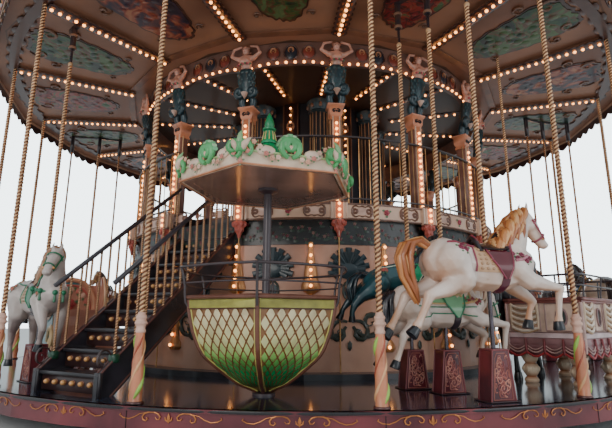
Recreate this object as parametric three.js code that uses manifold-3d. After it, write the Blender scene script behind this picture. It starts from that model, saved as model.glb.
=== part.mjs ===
// Double-deck fairground carousel: a turning platform with an upper deck, a spinning gondola,
// jumping horses on pedestals, two stairs and a pitched roof. Millimetres, +Z up.
// The origin is on the turning axis at ground level; an outer pole stands on the -Y axis.
import * as THREE from 'three';
import { mergeVertices } from 'three/addons/utils/BufferGeometryUtils.js';
import Module from 'manifold-3d';

const wasm = await Module();
wasm.setup();

// Driving dimensions
const BAYS = 16;
const BAY = (2 * Math.PI) / BAYS;
const GAP = 0.3;
const DECK_Z = 420;
const DECK_THICK = 120;
const RIM_R = 6000;
const RIM_DROP = 220;
const ROUND_SIDES = 48;
const DRUM_R = 3600;
const UPPER_Z = 2835;
const UPPER_THICK = 235;
const UPPER_R = 3640;
const CEILING_Z = 5470;
const CEILING_THICK = 60;
const CEILING_CORNER_R = 6270;
const POLE_R = 5864;
const POLE_RADIUS = 31;
const COLUMN_R = 3490;
const COLUMN_SIDE = 180;
const CAPITAL_Z = 4420;
const RAIL_TOP_Z = 3890;
const STAIR_BAY = -1.5;
const STAIR_LEFT = -450;
const STAIR_RIGHT = 590;
const STAIR_FOOT = 5700;
const STAIR_RISE = (UPPER_Z - DECK_Z) / 11;
const STAIR_GOING = 263;
const WELL_HALF = 600;
const HANDRAIL_UP = 880;
const GONDOLA_R = 5074;
const GONDOLA_AZ = -0.2059;
const GONDOLA_TURN = -0.109;
const CANOPY_TURN = -0.297;
const CANOPY_Z = 2650;
const MAST_RADIUS = 45;
const ROD_RADIUS = 20;
const ROD_TOP = 5250;
const GUIDE_LOW = 5050;
const GUIDE_PLAY = 0.6;
const RIB_DEPTH = 50;
const BOARD_LEAN = 130;
const BOARD_TOP = 6230;

// Places across a row of three: distance from the axis, and offset along the ring from mid-bay
const ROW = {
  outer: { r: 5690, t: 125, height: 490, width: 400, scale: 1 },
  middle: { r: 5104, t: -31, height: 450, width: 340, scale: 0.9, sink: 400, rodDrop: 100 },
  inner: { r: 4695, t: -234, height: 430, width: 300, scale: 0.76 },
};

const paint = (colour, roughness, metalness = 0) =>
  new THREE.MeshStandardMaterial({ color: colour, roughness, metalness });
const steel = paint(0x4a4a4e, 0.5, 0.8);
const brass = paint(0xb98a5a, 0.35, 0.9);
const darkWood = paint(0x2c2a30, 0.35);
const burgundy = paint(0x5a2630, 0.5);
const pinkPaint = paint(0xc89a8c, 0.5);
const creamPaint = paint(0xe3c9b0, 0.5);
const tanPaint = paint(0x93705e, 0.6);
const tealPaint = paint(0x24454c, 0.5);
const greenPaint = paint(0x4fae6a, 0.4);
const darkMetal = paint(0x2e2b30, 0.45, 0.6);
const greyPaint = paint(0xa29c94, 0.5);

// Turns a closed geometry into a solid; a shell wound inside out is wound back first
function solid(geometry) {
  const plain = geometry.index ? geometry.toNonIndexed() : geometry.clone();
  plain.deleteAttribute('normal');
  plain.deleteAttribute('uv');
  const merged = mergeVertices(plain, 0.001);
  const points = merged.attributes.position.array;
  const triangles = merged.index.array.slice();
  let volume = 0;
  const corner = (n) => new THREE.Vector3().fromArray(points, 3 * triangles[n]);
  for (let n = 0; n < triangles.length; n += 3) {
    volume += corner(n).dot(corner(n + 1).cross(corner(n + 2)));
  }
  if (volume < 0) {
    for (let n = 0; n < triangles.length; n += 3) {
      [triangles[n + 1], triangles[n + 2]] = [triangles[n + 2], triangles[n + 1]];
    }
  }
  return new wasm.Manifold(
    new wasm.Mesh({
      numProp: 3,
      vertProperties: new Float32Array(points),
      triVerts: new Uint32Array(triangles),
    }),
  );
}

const join = (parts) => parts.reduce((whole, part) => whole.add(part));

// A solid as a named mesh in the model, with the slivers that the joins leave taken out
const SLIVER = 0.05;
function piece(name, body, material) {
  const data = body.simplify(SLIVER).getMesh();
  const geometry = new THREE.BufferGeometry();
  geometry.setAttribute('position', new THREE.BufferAttribute(data.vertProperties, 3));
  geometry.setIndex(new THREE.BufferAttribute(data.triVerts, 1));
  geometry.computeVertexNormals();
  const mesh = new THREE.Mesh(geometry, material);
  mesh.name = name;
  return mesh;
}

const turn = (geometry, azimuth) => geometry.rotateZ(azimuth);

function box(x0, x1, y0, y1, z0, z1) {
  return new THREE.BoxGeometry(x1 - x0, y1 - y0, z1 - z0)
    .translate((x0 + x1) / 2, (y0 + y1) / 2, (z0 + z1) / 2);
}

// Solid of revolution about +Z from (radius, height) points; corner 0 of a many-sided one is on -Y
function lathe(profile, sides) {
  const points = profile.map(([r, z]) => new THREE.Vector2(r, z));
  return new THREE.LatheGeometry(points, sides).rotateX(Math.PI / 2).rotateZ(Math.PI);
}

function ring(rIn, rOut, z0, z1, sides = ROUND_SIDES) {
  return lathe([[rIn, z0], [rOut, z0], [rOut, z1], [rIn, z1], [rIn, z0]], sides);
}

function disc(r, z0, z1, sides = ROUND_SIDES) {
  return lathe([[0, z0], [r, z0], [r, z1], [0, z1]], sides);
}

// Tapered bar between two points, as a cylinder of few sides
function bar(from, to, r0, r1, sides = 4) {
  const start = new THREE.Vector3(...from);
  const along = new THREE.Vector3(...to).sub(start);
  const up = new THREE.Vector3(0, 1, 0);
  const swing = new THREE.Quaternion().setFromUnitVectors(up, along.clone().normalize());
  const middle = start.clone().addScaledVector(along, 0.5);
  return new THREE.CylinderGeometry(r1, r0, along.length(), sides)
    .applyQuaternion(swing)
    .translate(middle.x, middle.y, middle.z);
}

function upright(x, y, z0, z1, r0, r1, sides) {
  return bar([x, y, z0], [x, y, z1], r0, r1, sides);
}

// Band along part of the ring, between two azimuths measured from -Y towards +X
function arcBand(rIn, rOut, az0, az1, z0, z1, steps) {
  const shape = new THREE.Shape();
  const start = az0 - Math.PI / 2;
  const end = az1 - Math.PI / 2;
  for (let n = 0; n <= steps; n += 1) {
    const a = start + ((end - start) * n) / steps;
    shape[n ? 'lineTo' : 'moveTo'](rOut * Math.cos(a), rOut * Math.sin(a));
  }
  for (let n = steps; n >= 0; n -= 1) {
    const a = start + ((end - start) * n) / steps;
    shape.lineTo(rIn * Math.cos(a), rIn * Math.sin(a));
  }
  return new THREE.ExtrudeGeometry(shape, { depth: z1 - z0, bevelEnabled: false }).translate(0, 0, z0);
}

// Plate cut to a side profile of (distance from the axis, height) points, between two offsets
function sidePlate(points, x0, x1) {
  const shape = new THREE.Shape(points.map(([rho, z]) => new THREE.Vector2(rho, z)));
  return new THREE.ExtrudeGeometry(shape, { depth: x1 - x0, bevelEnabled: false })
    .applyMatrix4(new THREE.Matrix4().set(0, 0, 1, x0, -1, 0, 0, 0, 0, 1, 0, 0, 0, 0, 0, 1));
}

const bayAz = (bay) => bay * BAY;

// Fixed frame on the ground: track ring, crossing beams and the bearing that the platform turns on
function groundFrame() {
  const beams = [0, 1].map((n) => solid(turn(box(-80, 80, -5250, 5250, 0, 120), (n * Math.PI) / 2)));
  const track = solid(ring(5150, 5350, 0, 120, 24));
  const hub = solid(disc(620, 0, 240, 16));
  const bearing = solid(disc(450, 200, DECK_Z - DECK_THICK - GAP, 16));
  return piece('ground_frame', join([track, hub, bearing, ...beams]), steel);
}

function platformDeck() {
  return piece('platform_deck', solid(disc(RIM_R - 50, DECK_Z - DECK_THICK, DECK_Z)), darkWood);
}

// Painted panels round the platform edge under a wooden nosing
function rimPanels() {
  const rIn = RIM_R - 50 + GAP;
  const low = DECK_Z - RIM_DROP;
  const nosing = DECK_Z - 38;
  const edge = lathe([
    [rIn, low], [RIM_R - 18, low], [RIM_R - 18, nosing], [RIM_R, nosing],
    [RIM_R, DECK_Z], [rIn, DECK_Z], [rIn, low],
  ], ROUND_SIDES);
  return piece('rim_panels', solid(edge), burgundy);
}

// Wells where the two stairs rise through the drum and the upper floor
function stairWells(z0, z1) {
  const well = box(-WELL_HALF, WELL_HALF, -5000, -STAIR_FOOT + 10 * STAIR_GOING, z0, z1);
  return [0, Math.PI].map((half) => solid(turn(well.clone(), bayAz(STAIR_BAY) + half)));
}

function drumPlinth() {
  return piece('drum_plinth', solid(ring(DRUM_R + GAP, DRUM_R + 270, DECK_Z + GAP, DECK_Z + 75)), darkWood);
}

function drumWall() {
  const housing = solid(disc(DRUM_R, DECK_Z + GAP, UPPER_Z - UPPER_THICK - GAP));
  const wells = stairWells(1950, UPPER_Z);
  return piece('drum_wall', housing.subtract(wells[0]).subtract(wells[1]), pinkPaint);
}

function upperFloor() {
  const boards = solid(disc(UPPER_R, UPPER_Z - UPPER_THICK, UPPER_Z));
  const wells = stairWells(2000, 3000);
  return piece('upper_floor', boards.subtract(wells[0]).subtract(wells[1]), darkWood);
}

// The two runs of seven bays and a bit between the stair wells
const wellAngle = (r) => Math.asin((WELL_HALF + GAP) / r);
function halfRun(side, r) {
  const start = bayAz(STAIR_BAY) + (side === 'right' ? 0 : Math.PI);
  return [start + wellAngle(r), start + Math.PI - wellAngle(r)];
}

function polesBetween(az0, az1) {
  const found = [];
  for (let k = -BAYS; k < 2 * BAYS; k += 1) {
    if (k * BAY > az0 && k * BAY < az1) found.push(k * BAY);
  }
  return found;
}

// Scrolled band round the upper floor, with a framed plate and a carved pendant under each column
function upperFascia(side) {
  const [az0, az1] = halfRun(side, UPPER_R);
  const z0 = UPPER_Z - UPPER_THICK;
  const band = solid(arcBand(UPPER_R - 20, UPPER_R + 60, az0, az1, z0, UPPER_Z, 28));
  const floor = solid(disc(UPPER_R + GAP, z0 - 400, UPPER_Z + 100));
  const inside = polesBetween(az0 - 0.02, az1 + 0.02).filter((az) => az > az0 + 0.034 && az < az1 - 0.034);
  const plates = inside.map((az) => {
    const plate = solid(turn(box(-120, 120, -UPPER_R - 105, -UPPER_R - 40, z0 - 20, UPPER_Z + 20), az));
    return plate.add(solid(turn(upright(0, -UPPER_R - 62, z0 - 250, z0 - 10, 22, 85, 4), az)));
  });
  return piece(`upper_fascia_${side}`, join([band, ...plates]).subtract(floor), creamPaint);
}

// Railing of thin balusters along the edge of the upper floor
function upperRailing(side) {
  const r = UPPER_R - 23;
  const [az0, az1] = halfRun(side, r - 20);
  const rails = [[2910, 2940], [RAIL_TOP_Z - 40, RAIL_TOP_Z]]
    .map(([z0, z1]) => solid(arcBand(r - 18, r + 18, az0, az1, z0, z1, 14)));
  const balusters = [];
  const count = 14;
  const inset = 0.007;
  for (let n = 0; n <= count; n += 1) {
    const half = n === 0 || n === count ? 22 : 10;
    const az = az0 + inset + ((az1 - az0 - 2 * inset) * n) / count;
    balusters.push(solid(turn(box(-half, half, -r - 10, -r + 10, UPPER_Z + GAP, RAIL_TOP_Z - 5), az)));
  }
  return piece(`upper_railing_${side}`, join([...rails, ...balusters]), brass);
}

// Column with its capital and the mermaid figure that leans out and carries the frieze
const FIGURE_LEAN = 0.12;
function column() {
  const half = COLUMN_SIDE / 2;
  const out = COLUMN_R + half;
  const figure = lathe([
    [0, CAPITAL_Z - 20], [130, CAPITAL_Z + 20], [85, 4980], [120, 5230], [65, 5300], [65, 5420], [0, 5430],
  ], 5);
  const lean = new THREE.Matrix4()
    .makeShear(0, 0, 0, 0, 0, -FIGURE_LEAN)
    .setPosition(0, -out + 40 + FIGURE_LEAN * CAPITAL_Z, 0);
  const low = CAPITAL_Z - 240;
  const capital = lathe([[0, low], [half * 1.45, low], [half * 2.1, CAPITAL_Z], [0, CAPITAL_Z]], 4);
  const parts = [
    box(-half, half, -out, -out + COLUMN_SIDE, UPPER_Z + GAP, CAPITAL_Z - 150),
    capital.rotateZ(Math.PI / 4).translate(0, -COLUMN_R, 0),
    figure.applyMatrix4(lean),
  ];
  for (const side of [-1, 1]) {
    const arm = new THREE.Shape([[60, 5160], [200, 5310], [60, 5430], [60, 5390], [140, 5310], [60, 5230]]
      .map(([x, z]) => new THREE.Vector2(side * x, z)));
    const limb = new THREE.ExtrudeGeometry(arm, { depth: 50, bevelEnabled: false });
    parts.push(limb.rotateX(Math.PI / 2).translate(0, -out - 35, 0));
  }
  return parts;
}

// Half of the ring of columns, joined by the arches and the frieze under the ceiling
function colonnade(side) {
  const start = bayAz(STAIR_BAY) + (side === 'right' ? 0 : Math.PI);
  const out = COLUMN_R + COLUMN_SIDE / 2;
  const trim = 0.0001;
  const frieze = arcBand(out - 60, out, start + trim, start + Math.PI - trim, 5120, CEILING_Z - GAP, 24);
  const bodies = [solid(frieze)];
  for (const az of polesBetween(start, start + Math.PI)) {
    for (const part of column()) bodies.push(solid(turn(part, az)));
  }
  return piece(`colonnade_${side}`, join(bodies), pinkPaint);
}

// Core of the upper storey: dark panels between eight fluted columns
function innerCore() {
  const bodies = [solid(disc(1400, UPPER_Z + GAP, CEILING_Z - GAP, 16))];
  for (let k = 0; k < 8; k += 1) {
    const shaft = upright(0, -1530, UPPER_Z + GAP, CEILING_Z - GAP, 170, 170, 6);
    bodies.push(solid(turn(shaft, (k * Math.PI) / 4)));
  }
  return piece('inner_core', join(bodies), tealPaint);
}

function ceiling() {
  const panels = disc(CEILING_CORNER_R, CEILING_Z, CEILING_Z + CEILING_THICK, BAYS);
  return piece('ceiling', solid(panels), tanPaint);
}

// Bulb-lit ribs under the ceiling, one to each pole, running out from a ring over the figures
function ceilingRibs() {
  const low = CEILING_Z - RIB_DEPTH;
  const high = CEILING_Z - GAP;
  const bodies = [solid(ring(3890, 4010, low + 15, high, BAYS))];
  for (let k = 0; k < BAYS; k += 1) {
    bodies.push(solid(turn(box(-80, 80, -POLE_R + 74, -3950, low, high), k * BAY)));
  }
  return piece('ceiling_ribs', join(bodies), tanPaint);
}

// Four outer poles on the band that they hang from, with painted sleeves at the platform
function outerPoles(quarter, name) {
  const trim = 0.0001;
  const start = (quarter * Math.PI) / 2 - BAY / 2 + trim;
  const end = start + Math.PI / 2 - 2 * trim;
  const band = arcBand(POLE_R - 50, POLE_R + 90, start, end, CEILING_Z - 30, CEILING_Z - GAP, 12);
  const bodies = [solid(band)];
  for (let n = 0; n < 4; n += 1) {
    const az = (quarter * Math.PI) / 2 + n * BAY;
    const tube = upright(0, -POLE_R, DECK_Z + 500, CEILING_Z - 10, POLE_RADIUS, POLE_RADIUS, 5);
    bodies.push(solid(turn(tube, az)));
    bodies.push(solid(turn(upright(0, -POLE_R, DECK_Z + GAP, DECK_Z + 660, 62, 42, 6), az)));
    bodies.push(solid(turn(upright(0, -POLE_R, DECK_Z + 650, DECK_Z + 820, 60, 54, 6), az)));
  }
  return piece(`outer_poles_${name}`, join(bodies), brass);
}

// Leaning boards round the top of the machine, one flat board to each bay
function roundingBoards() {
  const low = CEILING_Z - 90;
  const high = BOARD_TOP;
  const r = CEILING_CORNER_R + GAP + 0.1;
  const lean = r + BOARD_LEAN;
  const boards = lathe([
    [r, low + 40], [r + 40, low], [lean + 70, high], [lean, high], [r, low + 200], [r, low + 40],
  ], BAYS);
  return piece('rounding_boards', solid(boards), creamPaint);
}

// Ribbed tilt that rests on the inner edge of the boards
function roof() {
  const r = CEILING_CORNER_R + BOARD_LEAN;
  const low = BOARD_TOP + GAP;
  const canvas = lathe([[0, 8040], [380, 7990], [r - 80, low], [r, low], [430, 8060], [0, 8110]], BAYS);
  return piece('roof', solid(canvas), burgundy);
}

function roofFinial() {
  const turned = [
    [0, 8111], [260, 8105], [260, 8180], [150, 8230], [240, 8360], [210, 8480], [90, 8570], [120, 8620],
    [60, 8680], [25, 9000], [0, 9050],
  ];
  const tilt = solid(lathe([[0, 7900], [600, 7900], [600, 8008], [0, 8110.4]], 16));
  return piece('roof_finial', solid(lathe(turned, 12)).subtract(tilt), brass);
}

// Height of the line through the stair's nosings at a distance from the axis
const nosingZ = (rho) => DECK_Z + STAIR_RISE + ((STAIR_FOOT - rho) * STAIR_RISE) / STAIR_GOING;
const slope = STAIR_RISE / STAIR_GOING;

function stairFlight(half) {
  const az = bayAz(STAIR_BAY) + half;
  const top = STAIR_FOOT - 10 * STAIR_GOING + 4;
  const foot = STAIR_FOOT + 40;
  const lift = 20;
  const depth = 366;
  const low = DECK_Z + GAP;
  const high = UPPER_Z;
  const lineAt = (z) => STAIR_FOOT - (z - nosingZ(STAIR_FOOT)) / slope;
  const profile = [
    [foot, low], [foot, nosingZ(foot) + lift], [lineAt(high - lift), high],
    [top, high], [top, nosingZ(top) - depth], [lineAt(low + depth), low],
  ];
  const bodies = [
    solid(turn(sidePlate(profile, STAIR_LEFT, STAIR_LEFT + 50), az)),
    solid(turn(sidePlate(profile, STAIR_RIGHT - 50, STAIR_RIGHT), az)),
  ];
  for (let n = 1; n <= 10; n += 1) {
    const front = STAIR_FOOT - (n - 1) * STAIR_GOING;
    const back = Math.max(front - STAIR_GOING - 20, top);
    const z = DECK_Z + n * STAIR_RISE;
    bodies.push(solid(turn(box(STAIR_LEFT + 20, STAIR_RIGHT - 20, -front, -back, z - 38, z), az)));
  }
  return join(bodies);
}

// Sloping handrail on square balusters, one to each tread, with a newel at the foot
function stairRail(half, x, seat) {
  const az = bayAz(STAIR_BAY) + half;
  const lift = 20 + seat;
  const start = STAIR_FOOT - 30;
  const end = STAIR_FOOT - 7.8 * STAIR_GOING;
  const railZ = (rho) => nosingZ(rho) + HANDRAIL_UP;
  const front = start + 60;
  const rail = [[front, railZ(front) - 55], [front, railZ(front)], [end, railZ(end)], [end, railZ(end) - 55]];
  const bodies = [solid(turn(sidePlate(rail, x - 24, x + 24), az))];
  for (let n = 0; n <= 7; n += 1) {
    const rho = start - n * STAIR_GOING;
    const side = n ? 13 : 22;
    const foot = nosingZ(rho - side) + lift;
    bodies.push(solid(turn(box(x - side, x + side, -rho - side, -rho + side, foot, railZ(rho) - 20), az)));
  }
  return join(bodies);
}

const gondolaAt = new THREE.Vector3(GONDOLA_R * Math.sin(GONDOLA_AZ), -GONDOLA_R * Math.cos(GONDOLA_AZ), 0);
const atGondola = (geometry, half = 0) => turn(geometry.translate(gondolaAt.x, gondolaAt.y, DECK_Z), half);
const hexagon = (profile, azimuth) => turn(lathe(profile, 6), azimuth);

// Pointed basket with a flat floor inside and a bore for the mast
const basketShell = () => hexagon([
  [54, 45], [90, 45], [290, 130], [520, 295], [670, 415], [785, 643], [840, 860], [850, 965],
  [812, 965], [750, 643], [640, 420], [600, 360], [54, 360], [54, 45],
], GONDOLA_TURN);
const basketRim = () => hexagon([
  [800, 965 + GAP], [885, 965 + GAP], [890, 1010], [800, 1010], [800, 965 + GAP],
], GONDOLA_TURN);
const basketSeat = () => hexagon([
  [470, 360 + GAP], [596, 360 + GAP], [700, 560], [720, 600], [470, 600], [470, 360 + GAP],
], GONDOLA_TURN);

function basketRail() {
  const hoop = hexagon([[935, 1275], [965, 1275], [965, 1305], [935, 1305], [935, 1275]], GONDOLA_TURN);
  const bodies = [solid(atGondola(hoop))];
  for (let n = 0; n < 6; n += 1) {
    const post = turn(bar([0, -860, 1000], [0, -950, 1290], 14, 14), GONDOLA_TURN + (n * Math.PI) / 3);
    bodies.push(solid(atGondola(post)));
  }
  bodies.push(solid(atGondola(basketRim())));
  return join(bodies);
}

function mastSolid(half = 0) {
  const foot = disc(120, GAP, 45 - GAP, 16);
  const tube = disc(MAST_RADIUS, 20, CANOPY_Z - DECK_Z - GAP, 16);
  const flange = disc(115, CANOPY_Z - DECK_Z - 40, CANOPY_Z - DECK_Z - GAP, 16);
  return join([foot, tube, flange].map((part) => solid(atGondola(part, half))));
}

const canopyLow = CANOPY_Z - DECK_Z;
const canopyTray = () => hexagon([
  [0, canopyLow], [940, canopyLow], [940, canopyLow + 60], [200, canopyLow + 230], [0, canopyLow + 230],
], CANOPY_TURN);

// Fascia round the canopy with a shell over each side and a leaf over each corner
function canopyCrest(half = 0) {
  const rIn = 940 + GAP;
  const hoop = hexagon([
    [rIn, canopyLow], [985, canopyLow], [985, canopyLow + 145], [rIn, canopyLow + 145], [rIn, canopyLow],
  ], CANOPY_TURN);
  const bodies = [solid(atGondola(hoop, half))];
  for (let n = 0; n < 6; n += 1) {
    const corner = CANOPY_TURN + (n * Math.PI) / 3;
    const leaf = turn(bar([0, -965, canopyLow + 130], [0, -965, canopyLow + 300], 70, 25, 4), corner);
    const mid = 965 * Math.cos(Math.PI / 6);
    const fan = box(-140, 140, -mid - 15, -mid + 20, canopyLow + 120, canopyLow + 345);
    const shell = turn(fan, corner + Math.PI / 6);
    bodies.push(solid(atGondola(leaf, half)), solid(atGondola(shell, half)));
  }
  return join(bodies);
}

const onionDome = () => lathe([
  [0, canopyLow + 230 + GAP], [110, canopyLow + 230 + GAP], [135, canopyLow + 380], [110, canopyLow + 490],
  [70, canopyLow + 600], [72, canopyLow + 700], [45, canopyLow + 790], [48, canopyLow + 810],
  [0, canopyLow + 950],
], 12);

function gondola() {
  return [
    piece('gondola_basket', solid(atGondola(basketShell())), creamPaint),
    piece('gondola_seat', solid(atGondola(basketSeat())), tealPaint),
    piece('gondola_handrail', basketRail(), darkMetal),
    piece('gondola_mast', mastSolid(), darkMetal),
    piece('gondola_canopy', solid(atGondola(canopyTray())), tanPaint),
    piece('gondola_crest', canopyCrest(), creamPaint),
    piece('gondola_dome', solid(atGondola(onionDome())), greenPaint),
  ];
}

// Matching tub on the far side, one piece with its mast and canopy
function farGondola() {
  const solidFoot = hexagon([[0, GAP], [90, GAP], [90, 60], [0, 60]], GONDOLA_TURN);
  const tub = hexagon([
    [0, 45], [90, 45], [290, 130], [520, 295], [670, 415], [785, 643], [840, 860], [885, 965], [885, 1010],
    [800, 1010], [800, 965], [750, 643], [640, 420], [600, 360], [0, 360],
  ], GONDOLA_TURN);
  const tray = hexagon([
    [0, canopyLow - 5], [985, canopyLow - 5], [985, canopyLow + 145], [900, canopyLow + 145],
    [200, canopyLow + 230], [110, canopyLow + 300], [135, canopyLow + 380], [70, canopyLow + 600],
    [45, canopyLow + 790], [0, canopyLow + 950],
  ], CANOPY_TURN);
  const bodies = [solidFoot, tub, tray].map((part) => solid(atGondola(part, Math.PI)));
  return piece('gondola_far', join([...bodies, mastSolid(Math.PI)]), creamPaint);
}

// Outlines of a horse facing +X with its pole at the origin, heights above the platform floor
const GALLOP = {
  height: 1285,
  head: [
    [130, 1330], [330, 1260], [560, 1600], [740, 1480], [810, 1520], [640, 1880], [500, 1960], [330, 1840],
  ],
  fore: [[170, 1320], [170, 1150], [640, 1060], [660, 760], [740, 750], [770, 1130], [350, 1250]],
  lift: [[170, 1320], [170, 1150], [660, 1090], [610, 880], [690, 860], [790, 1160], [350, 1250]],
  hind: [[-430, 1320], [-400, 1150], [-800, 920], [-1060, 610], [-1120, 650], [-900, 1010], [-640, 1330]],
  push: [[-430, 1320], [-400, 1150], [-720, 920], [-930, 610], [-990, 650], [-820, 1010], [-640, 1330]],
  tail: [[-600, 1480], [-600, 1380], [-860, 1240], [-960, 1010], [-1010, 1040], [-980, 1340], [-860, 1440]],
};
const BOWED = {
  ...GALLOP,
  head: [
    [130, 1400], [250, 1180], [560, 1290], [690, 1080], [780, 1090], [800, 1420], [700, 1530], [400, 1480],
  ],
  hind: [[-430, 1320], [-400, 1150], [-660, 920], [-800, 610], [-860, 650], [-760, 1010], [-640, 1330]],
  push: [[-430, 1320], [-400, 1150], [-600, 920], [-700, 610], [-760, 650], [-700, 1010], [-640, 1330]],
  tail: [[-600, 1480], [-600, 1380], [-700, 1240], [-760, 920], [-830, 940], [-800, 1340], [-740, 1440]],
};
const STANDING = {
  ...GALLOP,
  fore: [[170, 1300], [170, 1150], [240, 800], [240, 400], [330, 400], [340, 800], [370, 1250]],
  lift: [[170, 1300], [170, 1150], [420, 930], [400, 640], [480, 630], [540, 980], [370, 1250]],
  hind: [[-430, 1320], [-400, 1150], [-560, 800], [-550, 400], [-640, 400], [-690, 800], [-660, 1330]],
  push: [[-430, 1320], [-400, 1150], [-480, 800], [-470, 400], [-560, 400], [-610, 800], [-640, 1330]],
};

function slab(outline, y0, y1) {
  const shape = new THREE.Shape(outline.map(([x, z]) => new THREE.Vector2(x, z)));
  return new THREE.ExtrudeGeometry(shape, { depth: y1 - y0, bevelEnabled: false })
    .rotateX(Math.PI / 2)
    .translate(0, y1, 0);
}

// Horse as a list of closed parts; a smaller one shrinks about the middle of its body,
// and one that is low on its crank sinks
function horseParts(pose, { width, scale = 1, sink = 0 }) {
  const half = width / 2 / scale;
  const rings = [[-700, 0], [-600, 0.8], [-400, 1], [150, 1], [310, 0.75], [390, 0]];
  const barrel = new THREE.LatheGeometry(rings.map(([x, part]) => new THREE.Vector2(part * 240, x)), 6)
    .rotateZ(-Math.PI / 2)
    .scale(1, half / 208, 1)
    .translate(0, 0, pose.height);
  const leg = 75;
  const parts = [
    barrel,
    slab(pose.head, -75, 75),
    slab(pose.fore, half - leg, half),
    slab(pose.lift, -half, -half + leg),
    slab(pose.hind, half - leg, half),
    slab(pose.push, -half, -half + leg),
    slab(pose.tail, -45, 45),
  ];
  const lift = pose.height * (1 - scale) - sink;
  return parts.map((part) => part.scale(scale, scale, scale).translate(0, 0, lift));
}

const FRONT_ROW = 0.5;

// Turns and moves a geometry from pole coordinates to its place in a row
function inRow(geometry, bay, place) {
  const az = bayAz(bay);
  const lean = Math.atan2(place.t, place.r);
  const r = Math.hypot(place.r, place.t);
  return turn(geometry.translate(0, -r, DECK_Z), az + lean);
}

// Pedestal box: wide along the ring at its foot, and of one depth across it
const PEDESTAL = { base: 285, top: 187, deep: 190 };
function pedestalParts({ height }) {
  const { base, top, deep } = PEDESTAL;
  const face = [[-base / 2, GAP], [base / 2, GAP], [top / 2, height], [-top / 2, height]];
  return slab(face, -deep / 2, deep / 2);
}

function pedestal(name, bay, place) {
  const bore = upright(0, 0, 60, 800, ROD_RADIUS + 6, ROD_RADIUS + 6, 12);
  const body = solid(inRow(pedestalParts(place), bay, place)).subtract(solid(inRow(bore, bay, place)));
  return piece(name, body, burgundy);
}

function horse(name, bay, place, pose, material) {
  const bore = upright(0, 0, 500, 2600, ROD_RADIUS + GAP, ROD_RADIUS + GAP, 8);
  const bodies = horseParts(pose, place).map((part) => solid(inRow(part, bay, place)));
  return piece(name, join(bodies).subtract(solid(inRow(bore, bay, place))), material);
}

// Rod through a jumping horse, set lower where the horse stands low and has more of its rise to come
function horsePole(name, bay, place) {
  const drop = place.rodDrop ?? 0;
  const rod = upright(0, 0, 240 - drop, ROD_TOP - DECK_Z - drop, ROD_RADIUS, ROD_RADIUS, 8);
  return piece(name, solid(inRow(rod, bay, place)), brass);
}

// Bar under the ceiling with a guide sleeve over each pole of a row
function hangerBody(bay, places, drop = 0) {
  const high = CEILING_Z - drop - GAP - DECK_Z;
  const low = high - 45;
  const spots = places.map((place) =>
    new THREE.Vector2(place.t, -place.r).rotateAround(new THREE.Vector2(), bayAz(bay)));
  const bodies = [];
  for (let n = 1; n < spots.length; n += 1) {
    const from = spots[n - 1];
    const run = spots[n].clone().sub(from);
    const beam = box(-30, 30, -30, run.length() + 30, low, high)
      .rotateZ(run.angle() - Math.PI / 2)
      .translate(from.x, from.y, DECK_Z);
    bodies.push(solid(beam));
  }
  const bores = [];
  for (const place of places) {
    if (places.length === 1) bodies.push(solid(inRow(box(-120, 120, -30, 30, low, high), bay, place)));
    const sleeve = upright(0, 0, GUIDE_LOW - DECK_Z, high - 10, 42, 42, 8);
    const bore = ROD_RADIUS + GUIDE_PLAY;
    const hole = upright(0, 0, GUIDE_LOW - DECK_Z - 10, low, bore, bore, 8);
    bodies.push(solid(inRow(sleeve, bay, place)));
    bores.push(solid(inRow(hole, bay, place)));
  }
  return join(bodies).subtract(join(bores));
}

// A whole row of three on the sides that repeat, joined by its hanger bar and turned to its bay
function fixedRow(name, turnedBays) {
  const bay = FRONT_ROW;
  const places = [ROW.outer, ROW.middle, ROW.inner];
  const poses = [GALLOP, BOWED, GALLOP];
  const bodies = [hangerBody(bay, places)];
  places.forEach((place, n) => {
    const rod = upright(0, 0, place.height - 30, CEILING_Z - DECK_Z - 20, ROD_RADIUS, ROD_RADIUS, 4);
    const parts = [pedestalParts(place), rod, ...horseParts(poses[n], place)];
    for (const part of parts) bodies.push(solid(inRow(part, bay, place)));
  });
  const row = piece(name, join(bodies), creamPaint);
  row.rotation.z = bayAz(turnedBays);
  return row;
}

// Howdah carriage: a boxed tub on four carved feet
const HOWDAH = { r: 5080, bay: 1.62, length: 1500, width: 900, floor: 450, top: 1005 };
function howdahTub(bay) {
  const { length, width, floor, top } = HOWDAH;
  const x = length / 2;
  const y = width / 2;
  const wall = 45;
  const place = { r: HOWDAH.r, t: 0 };
  const outer = solid(inRow(box(-x, x, -y, y, floor, top), bay, place));
  const room = solid(inRow(box(-x + wall, x - wall, -y + wall, y - wall, floor + 50, top + 50), bay, place));
  const benches = [-1, 1].map((end) => {
    const near = end < 0 ? -x + 20 : x - 400;
    return solid(inRow(box(near, near + 380, -y + 20, y - 20, floor + 30, floor + 330), bay, place));
  });
  const feet = [[-1, -1], [1, -1], [1, 1], [-1, 1]].map(([a, b]) =>
    solid(inRow(upright(a * (x - 200), b * (y - 160), GAP, floor + 20, 85, 70, 8), bay, place)));
  return join([outer.subtract(room), ...benches, ...feet]);
}

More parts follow.
